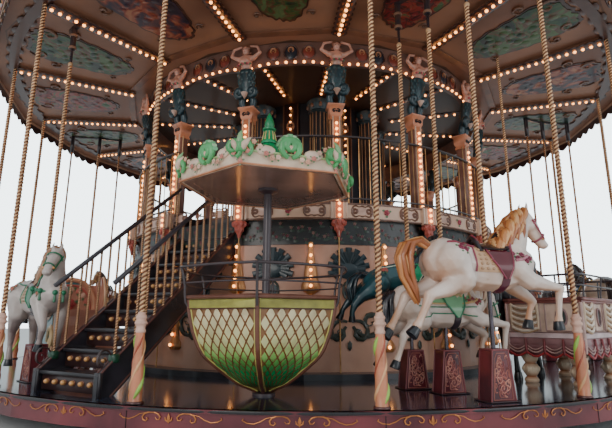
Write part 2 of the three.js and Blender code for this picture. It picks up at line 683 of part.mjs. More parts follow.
function howdahRail(bay) {
  const { length, width, top } = HOWDAH;
  const place = { r: HOWDAH.r, t: 0 };
  const hoop = (grow, z0, z1, thick) => {
    const x = length / 2 + grow;
    const y = width / 2 + grow;
    const whole = box(-x, x, -y, y, z0, z1);
    const inside = box(-x + thick, x - thick, -y + thick, y - thick, z0 - 5, z1 + 5);
    return solid(inRow(whole, bay, place)).subtract(solid(inRow(inside, bay, place)));
  };
  const bodies = [
    hoop(35, top + GAP, top + 45, 95),
    hoop(25, top + 170, top + 195, 25),
    hoop(45, top + 300, top + 328, 28),
  ];
  for (const a of [-1, 0, 1]) {
    for (const b of [-1, 1]) {
      const from = [a * (length / 2 + 12), b * (width / 2 + 12), top + 30];
      const to = [a * (length / 2 + 31), b * (width / 2 + 31), top + 315];
      bodies.push(solid(inRow(bar(from, to, 16, 14), bay, place)));
    }
  }
  return join(bodies);
}

// Round-backed coach: side walls that sweep up to an arched back
const COACH = { r: 4600, bay: -2.55, width: 860 };
function coachSolid(bay) {
  const place = { r: COACH.r, t: 0 };
  const outline = new THREE.Shape();
  outline.moveTo(-620, 120);
  outline.quadraticCurveTo(-800, 700, -640, 1150);
  outline.quadraticCurveTo(-560, 1440, -330, 1440);
  outline.quadraticCurveTo(-160, 1300, -120, 900);
  outline.quadraticCurveTo(100, 640, 560, 900);
  outline.quadraticCurveTo(700, 700, 560, 120);
  const half = COACH.width / 2;
  const wall = 45;
  const cut = { depth: COACH.width, bevelEnabled: false, curveSegments: 5 };
  const body = new THREE.ExtrudeGeometry(outline, cut)
    .rotateX(Math.PI / 2)
    .translate(0, half, 0);
  const room = box(-560, 500, -half + wall, half - wall, 340, 1600);
  const bench = box(-600, -140, -half + 20, half - 20, 330, 640);
  const feet = [-420, 400].flatMap((x) => [-300, 300].map((y) => upright(x, y, GAP, 140, 70, 60, 6)));
  const shell = solid(inRow(body, bay, place)).subtract(solid(inRow(room, bay, place)));
  const back = box(-640, -560, -half + 10, half - 10, 300, 1100);
  const others = [bench, back, ...feet].map((part) => solid(inRow(part, bay, place)));
  return join([shell, ...others]);
}

// Black horse standing on the floor inside the howdah, with its own pole
const BLACK = { r: 4400, t: 0, bay: 1.72 };
const WALKING = {
  height: 1090,
  head: [
    [130, 1150], [300, 1060], [520, 1340], [680, 1230], [760, 1270], [600, 1620], [470, 1700], [310, 1600],
  ],
  fore: [[150, 1140], [150, 950], [210, 500], [200, GAP], [290, GAP], [310, 500], [350, 1040]],
  lift: [[150, 1140], [150, 950], [330, 500], [310, GAP], [400, GAP], [430, 500], [350, 1040]],
  hind: [[-430, 1120], [-400, 950], [-560, 500], [-620, GAP], [-530, GAP], [-460, 520], [-300, 950]],
  push: [[-430, 1120], [-400, 950], [-450, 500], [-500, GAP], [-410, GAP], [-350, 520], [-280, 950]],
  tail: [[-600, 1290], [-600, 1190], [-760, 1050], [-800, 720], [-860, 730], [-870, 1120], [-800, 1240]],
};
function blackHorse() {
  const parts = horseParts(WALKING, { width: 290 });
  parts.push(upright(0, 0, 1000, CEILING_Z - DECK_Z - GAP, ROD_RADIUS, ROD_RADIUS, 6));
  return join(parts.map((part) => solid(inRow(part, BLACK.bay, BLACK))));
}

const model = new THREE.Group();
model.add(groundFrame(), platformDeck(), rimPanels(), drumPlinth(), drumWall(), upperFloor());
for (const side of ['right', 'left']) {
  model.add(upperFascia(side), upperRailing(side), colonnade(side));
}
model.add(innerCore(), ceiling(), ceilingRibs(), roundingBoards(), roof(), roofFinial());
['front', 'right', 'rear', 'left'].forEach((name, quarter) => model.add(outerPoles(quarter, name)));
const RAIL_LINES = [STAIR_LEFT + 25, STAIR_RIGHT - 25];
const rearRails = RAIL_LINES.map((x) => stairRail(Math.PI, x, -60));
model.add(
  piece('stair_flight', stairFlight(0), darkWood),
  piece('stair_rail_left', stairRail(0, RAIL_LINES[0], GAP), brass),
  piece('stair_rail_right', stairRail(0, RAIL_LINES[1], GAP), brass),
  piece('stair_rear', join([stairFlight(Math.PI), ...rearRails]), darkWood),
);
model.add(...gondola(), farGondola());

model.add(
  piece('jumper_hanger', hangerBody(FRONT_ROW, [ROW.outer, ROW.middle, ROW.inner]), darkMetal),
  pedestal('pedestal_outer', FRONT_ROW, ROW.outer),
  pedestal('pedestal_middle', FRONT_ROW, ROW.middle),
  pedestal('pedestal_inner', FRONT_ROW, ROW.inner),
  horsePole('pole_outer', FRONT_ROW, ROW.outer),
  horsePole('pole_middle', FRONT_ROW, ROW.middle),
  horsePole('pole_inner', FRONT_ROW, ROW.inner),
  horse('horse_outer', FRONT_ROW, ROW.outer, GALLOP, creamPaint),
  horse('horse_middle', FRONT_ROW, ROW.middle, BOWED, creamPaint),
  horse('horse_inner', FRONT_ROW, ROW.inner, GALLOP, tealPaint),
);

// Grey horse near the left-hand pole, on a pedestal and guide of its own
const GREY = { r: 5362, t: 0, height: 450, width: 380, scale: 0.95, sink: 280, rodDrop: 50 };
const GREY_BAY = -2.09;
model.add(
  piece('grey_hanger', hangerBody(GREY_BAY, [GREY], RIB_DEPTH), darkMetal),
  pedestal('pedestal_grey', GREY_BAY, GREY),
  horsePole('pole_grey', GREY_BAY, GREY),
  horse('horse_grey', GREY_BAY, GREY, STANDING, greyPaint),
);
model.add(
  piece('howdah_tub', howdahTub(HOWDAH.bay), pinkPaint),
  piece('howdah_rail', howdahRail(HOWDAH.bay), darkMetal),
  piece('coach', coachSolid(COACH.bay), pinkPaint),
  piece('horse_black', blackHorse(), darkMetal),
  piece('howdah_far', howdahTub(HOWDAH.bay + BAYS / 2), pinkPaint),
);
for (const [name, turnedBays] of [['right', 3], ['rear', 8], ['left', 11]]) {
  model.add(fixedRow(`horse_row_${name}`, turnedBays));
}

export default model;
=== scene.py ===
"""Looks of a double-deck fairground carousel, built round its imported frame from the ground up."""
import math

import bmesh
import bpy
from mathutils import Matrix, Vector, noise
from mathutils.bvhtree import BVHTree


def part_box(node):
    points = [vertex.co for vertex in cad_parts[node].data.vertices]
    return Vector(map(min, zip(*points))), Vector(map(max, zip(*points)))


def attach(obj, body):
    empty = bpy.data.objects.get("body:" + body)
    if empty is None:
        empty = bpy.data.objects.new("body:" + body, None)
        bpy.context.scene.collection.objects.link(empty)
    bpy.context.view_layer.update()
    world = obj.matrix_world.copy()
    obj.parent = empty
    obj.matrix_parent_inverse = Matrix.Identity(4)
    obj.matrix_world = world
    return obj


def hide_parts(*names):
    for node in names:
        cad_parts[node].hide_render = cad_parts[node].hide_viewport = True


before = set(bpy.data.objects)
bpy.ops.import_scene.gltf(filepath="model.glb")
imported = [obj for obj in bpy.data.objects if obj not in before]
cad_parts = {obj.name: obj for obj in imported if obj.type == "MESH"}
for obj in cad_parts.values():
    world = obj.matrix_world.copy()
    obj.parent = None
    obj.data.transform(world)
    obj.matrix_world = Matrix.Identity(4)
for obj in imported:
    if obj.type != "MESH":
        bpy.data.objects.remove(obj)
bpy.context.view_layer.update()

# Camera at the photographer's place: standing just outside the platform, looking up under the ceiling.
# Round the ride is a plain pale studio: a floor, an even pale surround and three large soft lights.
eye = bpy.data.cameras.new("eye")
eye.lens = 28.13
eye.sensor_width = 36
eye_place = bpy.data.objects.new("eye", eye)
eye_place.location = (-1.1305, -10.3057, 1.1956)
eye_place.rotation_euler = (math.radians(102.41), math.radians(-0.18), math.radians(-5.74))
bpy.context.scene.collection.objects.link(eye_place)
bpy.context.scene.camera = eye_place

surround = bpy.data.worlds.new("surround")
surround.use_nodes = True
nodes, links = surround.node_tree.nodes, surround.node_tree.links
nodes["Background"].inputs["Color"].default_value = (0.82, 0.92, 0.96, 1)
rays = nodes.new("ShaderNodeLightPath")
level = nodes.new("ShaderNodeMapRange")
level.inputs["To Min"].default_value = 0.85
level.inputs["To Max"].default_value = 5.0
links.new(rays.outputs["Is Camera Ray"], level.inputs["Value"])
links.new(level.outputs["Result"], nodes["Background"].inputs["Strength"])
bpy.context.scene.world = surround

ground = bmesh.new()
bmesh.ops.create_circle(ground, cap_ends=True, segments=64, radius=60)
ground_mesh = bpy.data.meshes.new("studio_floor")
ground.to_mesh(ground_mesh)
ground.free()
ground_paint = bpy.data.materials.new("studio floor")
ground_paint.use_nodes = True
shader = ground_paint.node_tree.nodes["Principled BSDF"]
shader.inputs["Base Color"].default_value = (0.88, 0.88, 0.87, 1)
shader.inputs["Roughness"].default_value = 0.8
ground_mesh.materials.append(ground_paint)
studio_floor = bpy.data.objects.new("studio_floor", ground_mesh)
bpy.context.scene.collection.objects.link(studio_floor)

for name, place, aim, size, power, colour in (
    ("key", (-9.0, -17.0, 6.5), (0, -3, 3.0), 7.0, 560, (1.0, 0.93, 0.86)),
    ("fill", (11.0, -14.0, 4.0), (1, -3, 2.5), 7.0, 260, (0.95, 0.97, 1.0)),
    ("back", (4.0, 17.0, 7.0), (0, 2, 3.0), 8.0, 400, (1.0, 0.98, 0.95)),
):
    lamp = bpy.data.lights.new(name, "AREA")
    lamp.size = size
    lamp.energy = power
    lamp.color = colour
    lamp_place = bpy.data.objects.new(name, lamp)
    lamp_place.location = place
    lamp_place.rotation_euler = (Vector(aim) - Vector(place)).to_track_quat("-Z", "Y").to_euler()
    bpy.context.scene.collection.objects.link(lamp_place)

# Fixed ground frame: cross beams, hub and track ring of welded steel, painted dark grey and dusty.
# It stays as the frame gives it, with a worn paint that is rusty in patches.
def tone(red, green, blue):
    """A colour given as on a screen, 0 to 255, as the shader takes it"""
    return tuple((c / 255) ** 2.2 for c in (red, green, blue)) + (1.0,)


def coat(name, light, dark, patch=3.0, rough=0.4, metal=0.0, grain=90.0, relief=0.1, gloss=0.0):
    """A finish in two tones that drift in soft patches, with fine grain in its roughness and surface"""
    material = bpy.data.materials.new(name)
    material.use_nodes = True
    nodes, links = material.node_tree.nodes, material.node_tree.links
    shader = nodes["Principled BSDF"]
    place = nodes.new("ShaderNodeTexCoord")
    broad = nodes.new("ShaderNodeTexNoise")
    broad.inputs["Scale"].default_value = patch
    broad.inputs["Detail"].default_value = 8
    ramp = nodes.new("ShaderNodeValToRGB")
    ramp.color_ramp.elements[0].position = 0.36
    ramp.color_ramp.elements[0].color = dark
    ramp.color_ramp.elements[1].position = 0.6
    ramp.color_ramp.elements[1].color = light
    fine = nodes.new("ShaderNodeTexNoise")
    fine.inputs["Scale"].default_value = grain
    fine.inputs["Detail"].default_value = 3
    shine = nodes.new("ShaderNodeMapRange")
    shine.inputs["To Min"].default_value = rough * 0.75
    shine.inputs["To Max"].default_value = min(1.0, rough * 1.3)
    bump = nodes.new("ShaderNodeBump")
    bump.inputs["Strength"].default_value = relief
    bump.inputs["Distance"].default_value = 0.004
    links.new(place.outputs["Object"], broad.inputs["Vector"])
    links.new(place.outputs["Object"], fine.inputs["Vector"])
    links.new(broad.outputs["Fac"], ramp.inputs["Fac"])
    links.new(ramp.outputs["Color"], shader.inputs["Base Color"])
    links.new(broad.outputs["Fac"], shine.inputs["Value"])
    links.new(shine.outputs["Result"], shader.inputs["Roughness"])
    links.new(fine.outputs["Fac"], bump.inputs["Height"])
    links.new(bump.outputs["Normal"], shader.inputs["Normal"])
    shader.inputs["Metallic"].default_value = metal
    shader.inputs["Coat Weight"].default_value = gloss
    shader.inputs["Coat Roughness"].default_value = 0.12
    return material


def repaint(node, material):
    """A frame node keeps its shape and takes a finish of its own"""
    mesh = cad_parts[node].data
    mesh.materials.clear()
    mesh.materials.append(material)


frame_paint = coat("frame paint", tone(70, 68, 72), tone(96, 62, 46), patch=2.2, rough=0.55, metal=0.4)
repaint("ground_frame", frame_paint)

# Platform floor: dark boards laid bay by bay along the rim, stained, varnished and worn glossy.
# The board lines come from the place in the bay, so they turn at each pole as the real ones do.
BAY = math.radians(22.5)
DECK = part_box("platform_deck")[1].z
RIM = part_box("rim_panels")[1].x
BOARD = 0.14
POLES = 16


def worked(material, operation, *values):
    """A math node fed by sockets or plain numbers"""
    node = material.node_tree.nodes.new("ShaderNodeMath")
    node.operation = operation
    for slot, value in zip(node.inputs, values):
        if isinstance(value, (int, float)):
            slot.default_value = value
        else:
            material.node_tree.links.new(value, slot)
    return node.outputs[0]


def bay_place(material):
    """Distance out along the middle of a bay, and the bay's number"""
    nodes, links = material.node_tree.nodes, material.node_tree.links
    place = nodes.new("ShaderNodeTexCoord")
    split = nodes.new("ShaderNodeSeparateXYZ")
    links.new(place.outputs["Object"], split.inputs[0])
    back = worked(material, "MULTIPLY", split.outputs["Y"], -1.0)
    angle = worked(material, "ARCTAN2", split.outputs["X"], back)
    turns = worked(material, "ADD", worked(material, "DIVIDE", angle, BAY), 0.5)
    whole = worked(material, "FLOOR", turns)
    off = worked(material, "MULTIPLY", worked(material, "SUBTRACT", turns,
                                              worked(material, "ADD", whole, 0.5)), BAY)
    reach = worked(material, "SQRT", worked(material, "ADD",
                   worked(material, "POWER", split.outputs["X"], 2.0),
                   worked(material, "POWER", split.outputs["Y"], 2.0)))
    return worked(material, "MULTIPLY", reach, worked(material, "COSINE", off)), whole


def tinted(material, tint, amount=1.0):
    """Multiplies the colour of a finish by a socket or a plain colour"""
    nodes, links = material.node_tree.nodes, material.node_tree.links
    shader = nodes["Principled BSDF"]
    mix = nodes.new("ShaderNodeMix")
    mix.data_type = "RGBA"
    mix.blend_type = "MULTIPLY"
    for name, value in (("Factor", amount), ("B", tint)):
        if isinstance(value, bpy.types.NodeSocket):
            links.new(value, mix.inputs[name])
        else:
            mix.inputs[name].default_value = value
    links.new(shader.inputs["Base Color"].links[0].from_socket, mix.inputs["A"])
    links.new(mix.outputs["Result"], shader.inputs["Base Color"])
    return material


def board_finish(name, light, dark, rough):
    """Boards that lie along the rim in each bay, each board in a tint of its own between dark seams"""
    material = coat(name, light, dark, patch=1.6, rough=rough, grain=40, relief=0.15, gloss=0.6)
    nodes, links = material.node_tree.nodes, material.node_tree.links
    out, bay = bay_place(material)
    boards = worked(material, "DIVIDE", out, BOARD)
    seam = worked(material, "ABSOLUTE", worked(material, "SUBTRACT", worked(material, "FRACT", boards),
                                               0.5))
    gap = worked(material, "GREATER_THAN", seam, 0.475)
    board_number = worked(material, "ADD", worked(material, "FLOOR", boards),
                          worked(material, "MULTIPLY", bay, 37.0))
    tint = nodes.new("ShaderNodeTexWhiteNoise")
    tint.noise_dimensions = "1D"
    links.new(board_number, tint.inputs["W"])
    shade = worked(material, "SUBTRACT", worked(material, "MULTIPLY_ADD", tint.outputs["Value"], 0.5, 0.7),
                   worked(material, "MULTIPLY", gap, 0.6))
    return tinted(material, shade)


deck_boards = board_finish("deck boards", tone(58, 62, 80), tone(28, 32, 46), 0.12)
repaint("platform_deck", deck_boards)
repaint("drum_plinth", coat("plinth stain", tone(52, 50, 58), tone(30, 28, 34), patch=4, rough=0.35,
                            gloss=0.4))

# Platform edge: burgundy boards between the poles with a dark rounded nosing over them.
# Gold scrolls in pairs flank lotus buds, cut thin and raised a little from the boards.
def shape():
    """An empty shape that remembers a paint colour on each face"""
    bm = bmesh.new()
    bm.loops.layers.float_color.new("paint")
    return bm


def dye(bm, colour, finish=0):
    """Paints the faces that are still bare white"""
    layer = bm.loops.layers.float_color["paint"]
    for face in bm.faces:
        if min(face.loops[0][layer][:3]) > 0.999:
            face.material_index = finish
            for loop in face.loops:
                loop[layer] = colour
    return bm


def add(whole, part, *moves):
    """Puts copies of a shape into another one"""
    mesh = bpy.data.meshes.new("copy")
    part.to_mesh(mesh)
    for move in moves or (Matrix(),):
        copy = mesh.copy()
        copy.transform(move)
        whole.from_mesh(copy)
        bpy.data.meshes.remove(copy)
    bpy.data.meshes.remove(mesh)
    return whole


def shift(x, y, z):
    """A move without a turn"""
    return Matrix.Translation((x, y, z))


def round_axis(bm, copies):
    """Repeats everything in the shape round the turning axis"""
    bmesh.ops.spin(bm, geom=bm.verts[:] + bm.edges[:] + bm.faces[:], cent=(0, 0, 0), axis=(0, 0, 1),
                   dvec=(0, 0, 0), angle=2 * math.pi * (copies - 1) / copies, steps=copies - 1,
                   use_duplicate=True)
    return bm


def wrap(bm, radius):
    """Bends a flat pattern that faces -Y at the radius round the turning axis"""
    for vert in bm.verts:
        reach, angle = -vert.co.y, vert.co.x / radius
        vert.co.x, vert.co.y = reach * math.sin(angle), -reach * math.cos(angle)
    return bm


def thicken(bm, move):
    """Gives a sheet its thickness, up to a copy of its faces that is moved off"""
    behind = bmesh.ops.extrude_face_region(bm, geom=bm.faces[:])
    bmesh.ops.translate(bm, vec=move, verts=[g for g in behind["geom"]
                                             if isinstance(g, bmesh.types.BMVert)])
    bmesh.ops.recalc_face_normals(bm, faces=bm.faces)
    return bm


def swept(bm, section, steps, start=0.0, angle=2 * math.pi):
    """Turns a closed section of (out, z) points round the axis"""
    begin = [bm.verts.new((0, -out, z)) for out, z in section]
    ends = [bm.edges.new(pair) for pair in zip(begin, begin[1:] + begin[:1])]
    bmesh.ops.rotate(bm, verts=begin, cent=(0, 0, 0), matrix=Matrix.Rotation(start, 3, "Z"))
    bmesh.ops.spin(bm, geom=begin + ends, cent=(0, 0, 0), axis=(0, 0, 1), dvec=(0, 0, 0), angle=angle,
                   steps=steps, use_merge=angle == 2 * math.pi)
    if angle == 2 * math.pi:
        bmesh.ops.remove_doubles(bm, verts=bm.verts, dist=1e-5)
    bmesh.ops.recalc_face_normals(bm, faces=bm.faces)
    return bm


def stand(name, bm, *finishes, body="carousel", slot=None, nodes=(), smooth=35):
    """Turns a shape into a piece of the ride"""
    mesh = bpy.data.meshes.new(name)
    bm.to_mesh(mesh)
    bm.free()
    for finish in finishes:
        mesh.materials.append(finish)
    for polygon in mesh.polygons:
        polygon.use_smooth = True
    mesh.set_sharp_from_angle(angle=math.radians(smooth))
    piece = bpy.data.objects.new(name, mesh)
    bpy.context.scene.collection.objects.link(piece)
    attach(piece, body)
    if nodes:
        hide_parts(*nodes)
    return piece


def tubes(paths, sides=2):
    """Round bars along lists of (x, y, z, radius) points, as one shape"""
    curve = bpy.data.curves.new("bars", "CURVE")
    curve.dimensions = "3D"
    curve.bevel_depth = 1.0
    curve.bevel_resolution = sides
    curve.use_fill_caps = True
    for path in paths:
        spline = curve.splines.new("POLY")
        spline.points.add(len(path) - 1)
        for point, (x, y, z, radius) in zip(spline.points, path):
            point.co = (x, y, z, 1)
            point.radius = radius
    holder = bpy.data.objects.new("bars", curve)
    bpy.context.scene.collection.objects.link(holder)
    mesh = bpy.data.meshes.new_from_object(holder.evaluated_get(bpy.context.evaluated_depsgraph_get()))
    bpy.data.objects.remove(holder)
    bm = shape()
    bm.from_mesh(mesh)
    bpy.data.meshes.remove(mesh)
    bpy.data.curves.remove(curve)
    bmesh.ops.remove_doubles(bm, verts=bm.verts, dist=1e-6)
    bmesh.ops.recalc_face_normals(bm, faces=bm.faces)
    return bm


def scroll(start, heading, size, quarters, hand=1, thick=0.12, shrink=0.72, steps=4):
    """Points of a carved scroll in the upright plane, made of quarter turns that tighten"""
    x, z = start
    points = []
    length, angle = size * math.pi / 2, heading
    for quarter in range(quarters):
        for step in range(steps):
            share = (quarter * steps + step) / (quarters * steps)
            width = size * thick * (0.35 + 1.3 * math.sin(math.pi * min(1, share * 1.15 + 0.1)) ** 0.8)
            points.append((x, 0, z, max(width, size * thick * 0.3)))
            angle += hand * math.pi / 2 / steps
            x += length / steps * math.cos(angle)
            z += length / steps * math.sin(angle)
        length *= shrink
    points.append((x, 0, z, size * thick * 1.5))
    return points


def painted(name, rough=0.35, metal=0.0, patch=5.0, grain=70.0, relief=0.12, gloss=0.35, dirt=0.3):
    """A finish whose colour is brushed on the faces, with grime and fine grain over it"""
    material = coat(name, (1, 1, 1, 1), (1 - dirt, 1 - dirt * 1.08, 1 - dirt * 1.15, 1), patch, rough,
                    metal, grain, relief, gloss)
    brushed = material.node_tree.nodes.new("ShaderNodeAttribute")
    brushed.attribute_name = "paint"
    return tinted(material, brushed.outputs["Color"])


OLD_GOLD = tone(214, 150, 98)
NOSING = tone(34, 30, 36)
rim_board = coat("rim boards", tone(126, 56, 62), tone(84, 32, 42), patch=1.2, rough=0.42, gloss=0.25)
repaint("rim_panels", rim_board)
show_paint = painted("show paint")
gilding = painted("gilding", rough=0.34, metal=0.55, gloss=0.2)

edge = shape()
for at in (-0.75, 0.43):
    for side in (-1, 1):
        bow = ((0.13, -0.1), (0.115, -0.12), (0.09, -0.118), (0.082, -0.092), (0.105, -0.065),
               (0.15, -0.048), (0.2, -0.05), (0.24, -0.068), (0.26, -0.098), (0.252, -0.128),
               (0.225, -0.138), (0.208, -0.12), (0.218, -0.104))
        sweep = ((0.22, -0.055), (0.29, -0.072), (0.34, -0.105), (0.4, -0.128), (0.46, -0.12),
                 (0.5, -0.095), (0.49, -0.078))
        lines = []
        for line, size in ((bow, 0.0085), (sweep, 0.0065)):
            lines.append([(at + side * x, 0, z, size * (0.5 + 0.5 * math.sin(math.pi * k / len(line))))
                          for k, (x, z) in enumerate(line)])
        add(edge, tubes(lines, sides=1))
    bud = [(at, 0, -0.15, 0.003), (at, 0, -0.125, 0.013), (at, 0, -0.105, 0.017), (at, 0, -0.08, 0.011),
           (at, 0, -0.055, 0.003)]
    petals = [[(at, 0, -0.14, 0.004), (at + side * 0.028, 0, -0.12, 0.008),
               (at + side * 0.034, 0, -0.09, 0.003)] for side in (-1, 1)]
    add(edge, tubes([bud, *petals], sides=1))
bmesh.ops.scale(edge, vec=(1, 0.5, 0.85), verts=edge.verts)
bmesh.ops.translate(edge, vec=(BAY / 2 * RIM, 0.018 - RIM, DECK), verts=edge.verts)
dye(edge, tone(196, 122, 70))
wrap(edge, RIM)
joint = shape()
bmesh.ops.create_cube(joint, size=1.0, matrix=shift(0, -RIM + 0.017, DECK - 0.13)
                      @ Matrix.Diagonal((0.006, 0.006, 0.18, 1)))
dye(joint, NOSING)
add(edge, joint)
round_axis(edge, POLES)
stand("rim_scrolls", edge, gilding, slot="rim_paint")

section = [(RIM - dx, DECK + dz) for dx, dz in ((0.06, 0.0), (0.012, 0.0), (0.003, -0.006), (0.0, -0.018),
                                                (0.003, -0.031), (0.017, -0.037), (0.06, -0.037))]
nosing = dye(swept(shape(), section, 192), NOSING)
stand("rim_nosing", nosing, painted("nosing varnish", rough=0.28, patch=8), slot="floor_boards")

# Drum in the middle of the lower deck: pink boards over its frame, a grey line and a dark plinth below.
# Each of its panels has a dark teal shell, an oval frame and a lyre of two scrolls, all of painted carving.
DRUM = 3.6
PANELS = 21
PANEL = 2 * math.pi / PANELS
FIRST_URN = math.radians(-6.2)
UNDER_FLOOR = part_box("upper_floor")[0].z
TEAL = tone(34, 54, 62)
DARK_GREEN = tone(58, 66, 58)
ROSE = tone(176, 58, 74)
LEAF = tone(92, 128, 84)
repaint("drum_wall", coat("drum paint", tone(220, 168, 142), tone(184, 130, 106), patch=1.1, rough=0.4,
                          gloss=0.3))


def about(angle):
    """A turn round the upright axis"""
    return Matrix.Rotation(angle, 4, "Z")


def ball(bm, at, radius, stretch=(1, 1, 1), fine=1):
    """A small rounded blob"""
    move = Matrix.Translation(at) @ Matrix.Diagonal((*stretch, 1))
    bmesh.ops.create_icosphere(bm, subdivisions=fine, radius=radius, matrix=move)
    return bm


def rose(petal=ROSE, size=0.05):
    """A carved rose with three leaves, facing -Y"""
    bloom = shape()
    for n in range(5):
        turn = n * 2 * math.pi / 5
        ball(bloom, (0.5 * size * math.cos(turn), -0.15 * size, 0.5 * size * math.sin(turn)), 0.52 * size,
             (1, 0.6, 1))
    ball(bloom, (0, -0.45 * size, 0), 0.42 * size, (1, 0.7, 1))
    dye(bloom, petal)
    for turn in (0.4, 2.6, 4.7):
        ball(bloom, (1.25 * size * math.cos(turn), 0, 1.25 * size * math.sin(turn)), 0.5 * size,
             (1, 0.3, 0.75))
    return dye(bloom, LEAF)


def laid_out(bm):
    """An object of its own for modifiers to work on"""
    mesh = bpy.data.meshes.new("rough")
    bm.to_mesh(mesh)
    bm.free()
    holder = bpy.data.objects.new("rough", mesh)
    bpy.context.scene.collection.objects.link(holder)
    return holder


def taken_back(holder):
    """What the modifiers made of it, as a shape again"""
    skin = bpy.data.meshes.new_from_object(holder.evaluated_get(bpy.context.evaluated_depsgraph_get()))
    rough = holder.data
    bpy.data.objects.remove(holder)
    bpy.data.meshes.remove(rough)
    whole = shape()
    whole.from_mesh(skin)
    bpy.data.meshes.remove(skin)
    return whole


def thinned(bm, keep):
    """The same shape with a share of its triangles, fewest where it is flattest"""
    holder = laid_out(bm)
    thin = holder.modifiers.new("thin", "DECIMATE")
    thin.ratio = keep
    return taken_back(holder)


def oval(x, y, z, wide, tall, thick, steps=20):
    """Points of a ring that stands facing -Y"""
    turns = [2 * math.pi * n / steps for n in range(steps + 1)]
    return [(x + wide * math.cos(t), y, z + tall * math.sin(t), thick) for t in turns]


lyre = shape()
for side in (-1, 1):
    add(lyre,
        tubes([scroll((side * 0.03, 0.62), math.pi / 2 - side * 0.9, 0.16, 6, hand=-side, thick=0.13),
               scroll((side * 0.05, 0.56), -math.pi / 2 + side * 0.2, 0.22, 6, hand=side, thick=0.11)],
              sides=2))
ball(lyre, (0, 0, 0.3), 0.045, (0.8, 0.6, 1.6))
add(lyre, tubes([oval(0, 0, 1.05, 0.085, 0.13, 0.016, steps=16)], sides=2))
dye(lyre, DARK_GREEN)
ball(lyre, (0, 0.01, 1.05), 0.075, (1, 0.2, 1.5))
dye(lyre, TEAL)
for n in range(19):
    angle = math.radians(-30 + 13.3 * n)
    reach = 0.3 if n % 2 else 0.24
    plume = [(k * reach * math.cos(angle), -0.03 * k, 1.36 + k * reach * math.sin(angle), 0.018 + 0.03 * k)
             for k in (0.2, 0.6, 1.0)]
    add(lyre, tubes([plume], sides=1))
ball(lyre, (0, -0.01, 1.34), 0.15, (1.2, 0.3, 0.9), fine=2)
dye(lyre, TEAL)
bmesh.ops.scale(lyre, vec=(1, 0.55, 1), verts=lyre.verts)
lyre.transform(shift(PANEL / 2 * DRUM, -DRUM - 0.012, DECK + 0.12))
lyre = thinned(wrap(lyre, DRUM), 0.45)
round_axis(lyre, PANELS)
lyre.transform(about(FIRST_URN))
stand("drum_carving", lyre, show_paint, slot="wall_paint")

# Flowered band round the top of the drum under the fascia: boards painted near black as the fascia's shade,
# with carved flowers. Roses in three dull reds lie along it in a wave, each over a dark green leaf.
section = [(DRUM + d, UNDER_FLOOR - drop) for d, drop in ((0.004, 0.0), (0.012, 0.0), (0.012, 0.36),
                                                          (0.004, 0.36))]
band = dye(swept(shape(), section, 96), tone(12, 11, 13))
flowers = shape()
for n in range(20):
    x = (n - 9.5) * 0.053
    z = UNDER_FLOOR - 0.18 - 0.1 * math.cos(n * 2.3) + 0.03 * math.sin(n * 5.1)
    petal = (tone(120, 52, 60), tone(134, 88, 76), tone(88, 52, 54))[n % 3]
    add(flowers, rose(petal, 0.026), shift(x, 0, z))
    ball(flowers, (x + 0.02, 0, z - 0.05), 0.028, (1.6, 0.3, 0.7))
    dye(flowers, tone(38, 58, 44))
flowers.transform(shift(PANEL / 2 * DRUM, -DRUM - 0.014, 0))
flowers = thinned(wrap(flowers, DRUM), 0.25)
round_axis(flowers, PANELS)
stand("drum_band", add(band, flowers), show_paint, slot="wall_paint")

# Gilded urns on the drum, turned in halves and fixed flat to the boards between the panels.
# Each carries a line of bulbs down its front and a ball on its lid.
def turned(profile, sides=24, at=(0, 0)):
    """A turned body from (radius, height) points"""
    bm = shape()
    x, y = at
    points = [bm.verts.new((x + r, y, z)) for r, z in profile]
    line = [bm.edges.new(pair) for pair in zip(points, points[1:])]
    bmesh.ops.spin(bm, geom=points + line, cent=(x, y, 0), axis=(0, 0, 1), dvec=(0, 0, 0),
                   angle=2 * math.pi, steps=sides, use_merge=True)
    bmesh.ops.remove_doubles(bm, verts=bm.verts, dist=1e-5)
    bmesh.ops.recalc_face_normals(bm, faces=bm.faces)
    return bm


GLOBE = 0.027


def bulbs(*places):
    """Round lamps, each a globe standing out along -Y of its place from a small brass cup"""
    lamp = shape()
    ball(lamp, (0, -0.016, 0), GLOBE)
    dye(lamp, tone(250, 214, 160), finish=1)
    bmesh.ops.create_cone(lamp, segments=6, radius1=0.027, radius2=0.021, depth=0.014, cap_ends=False,
                          matrix=Matrix.Rotation(math.pi / 2, 4, "X"))
    dye(lamp, OLD_GOLD)
    return add(shape(), lamp, *places)


lit = coat("lit bulb glass", tone(255, 226, 178), tone(255, 206, 140), rough=0.2)
glow = lit.node_tree.nodes["Principled BSDF"].inputs
glow["Emission Color"].default_value = (1.0, 0.37, 0.09, 1)
glow["Emission Strength"].default_value = 5.0

urn = turned([(0, 0.3), (0.1, 0.3), (0.13, 0.34), (0.125, 0.4), (0.07, 0.47), (0.055, 0.56), (0.1, 0.66),
              (0.11, 0.76), (0.05, 0.9), (0.035, 1.08), (0.13, 1.14), (0.14, 1.19), (0.12, 1.25),
              (0.1, 1.3), (0.095, 1.4), (0.07, 1.52), (0.045, 1.64), (0.03, 1.72), (0.045, 1.76),
              (0.035, 1.82), (0, 1.84)], sides=14)
dye(urn, OLD_GOLD)
bmesh.ops.scale(urn, vec=(1, 0.55, 1), verts=urn.verts)
add(urn,
    bulbs(*(shift(0, -depth, z) for depth, z in ((0.075, 0.37), (0.045, 0.52), (0.06, 0.66), (0.06, 0.78),
                                                 (0.078, 1.2), (0.06, 1.32), (0.055, 1.42), (0.042, 1.53),
                                                 (0.03, 1.63), (0.028, 1.77)))))
urn.transform(shift(0, -DRUM - 0.005, DECK + 0.03))
round_axis(urn, PANELS)
urn.transform(about(FIRST_URN))
stand("drum_urns", urn, gilding, lit, slot="brass_tube")

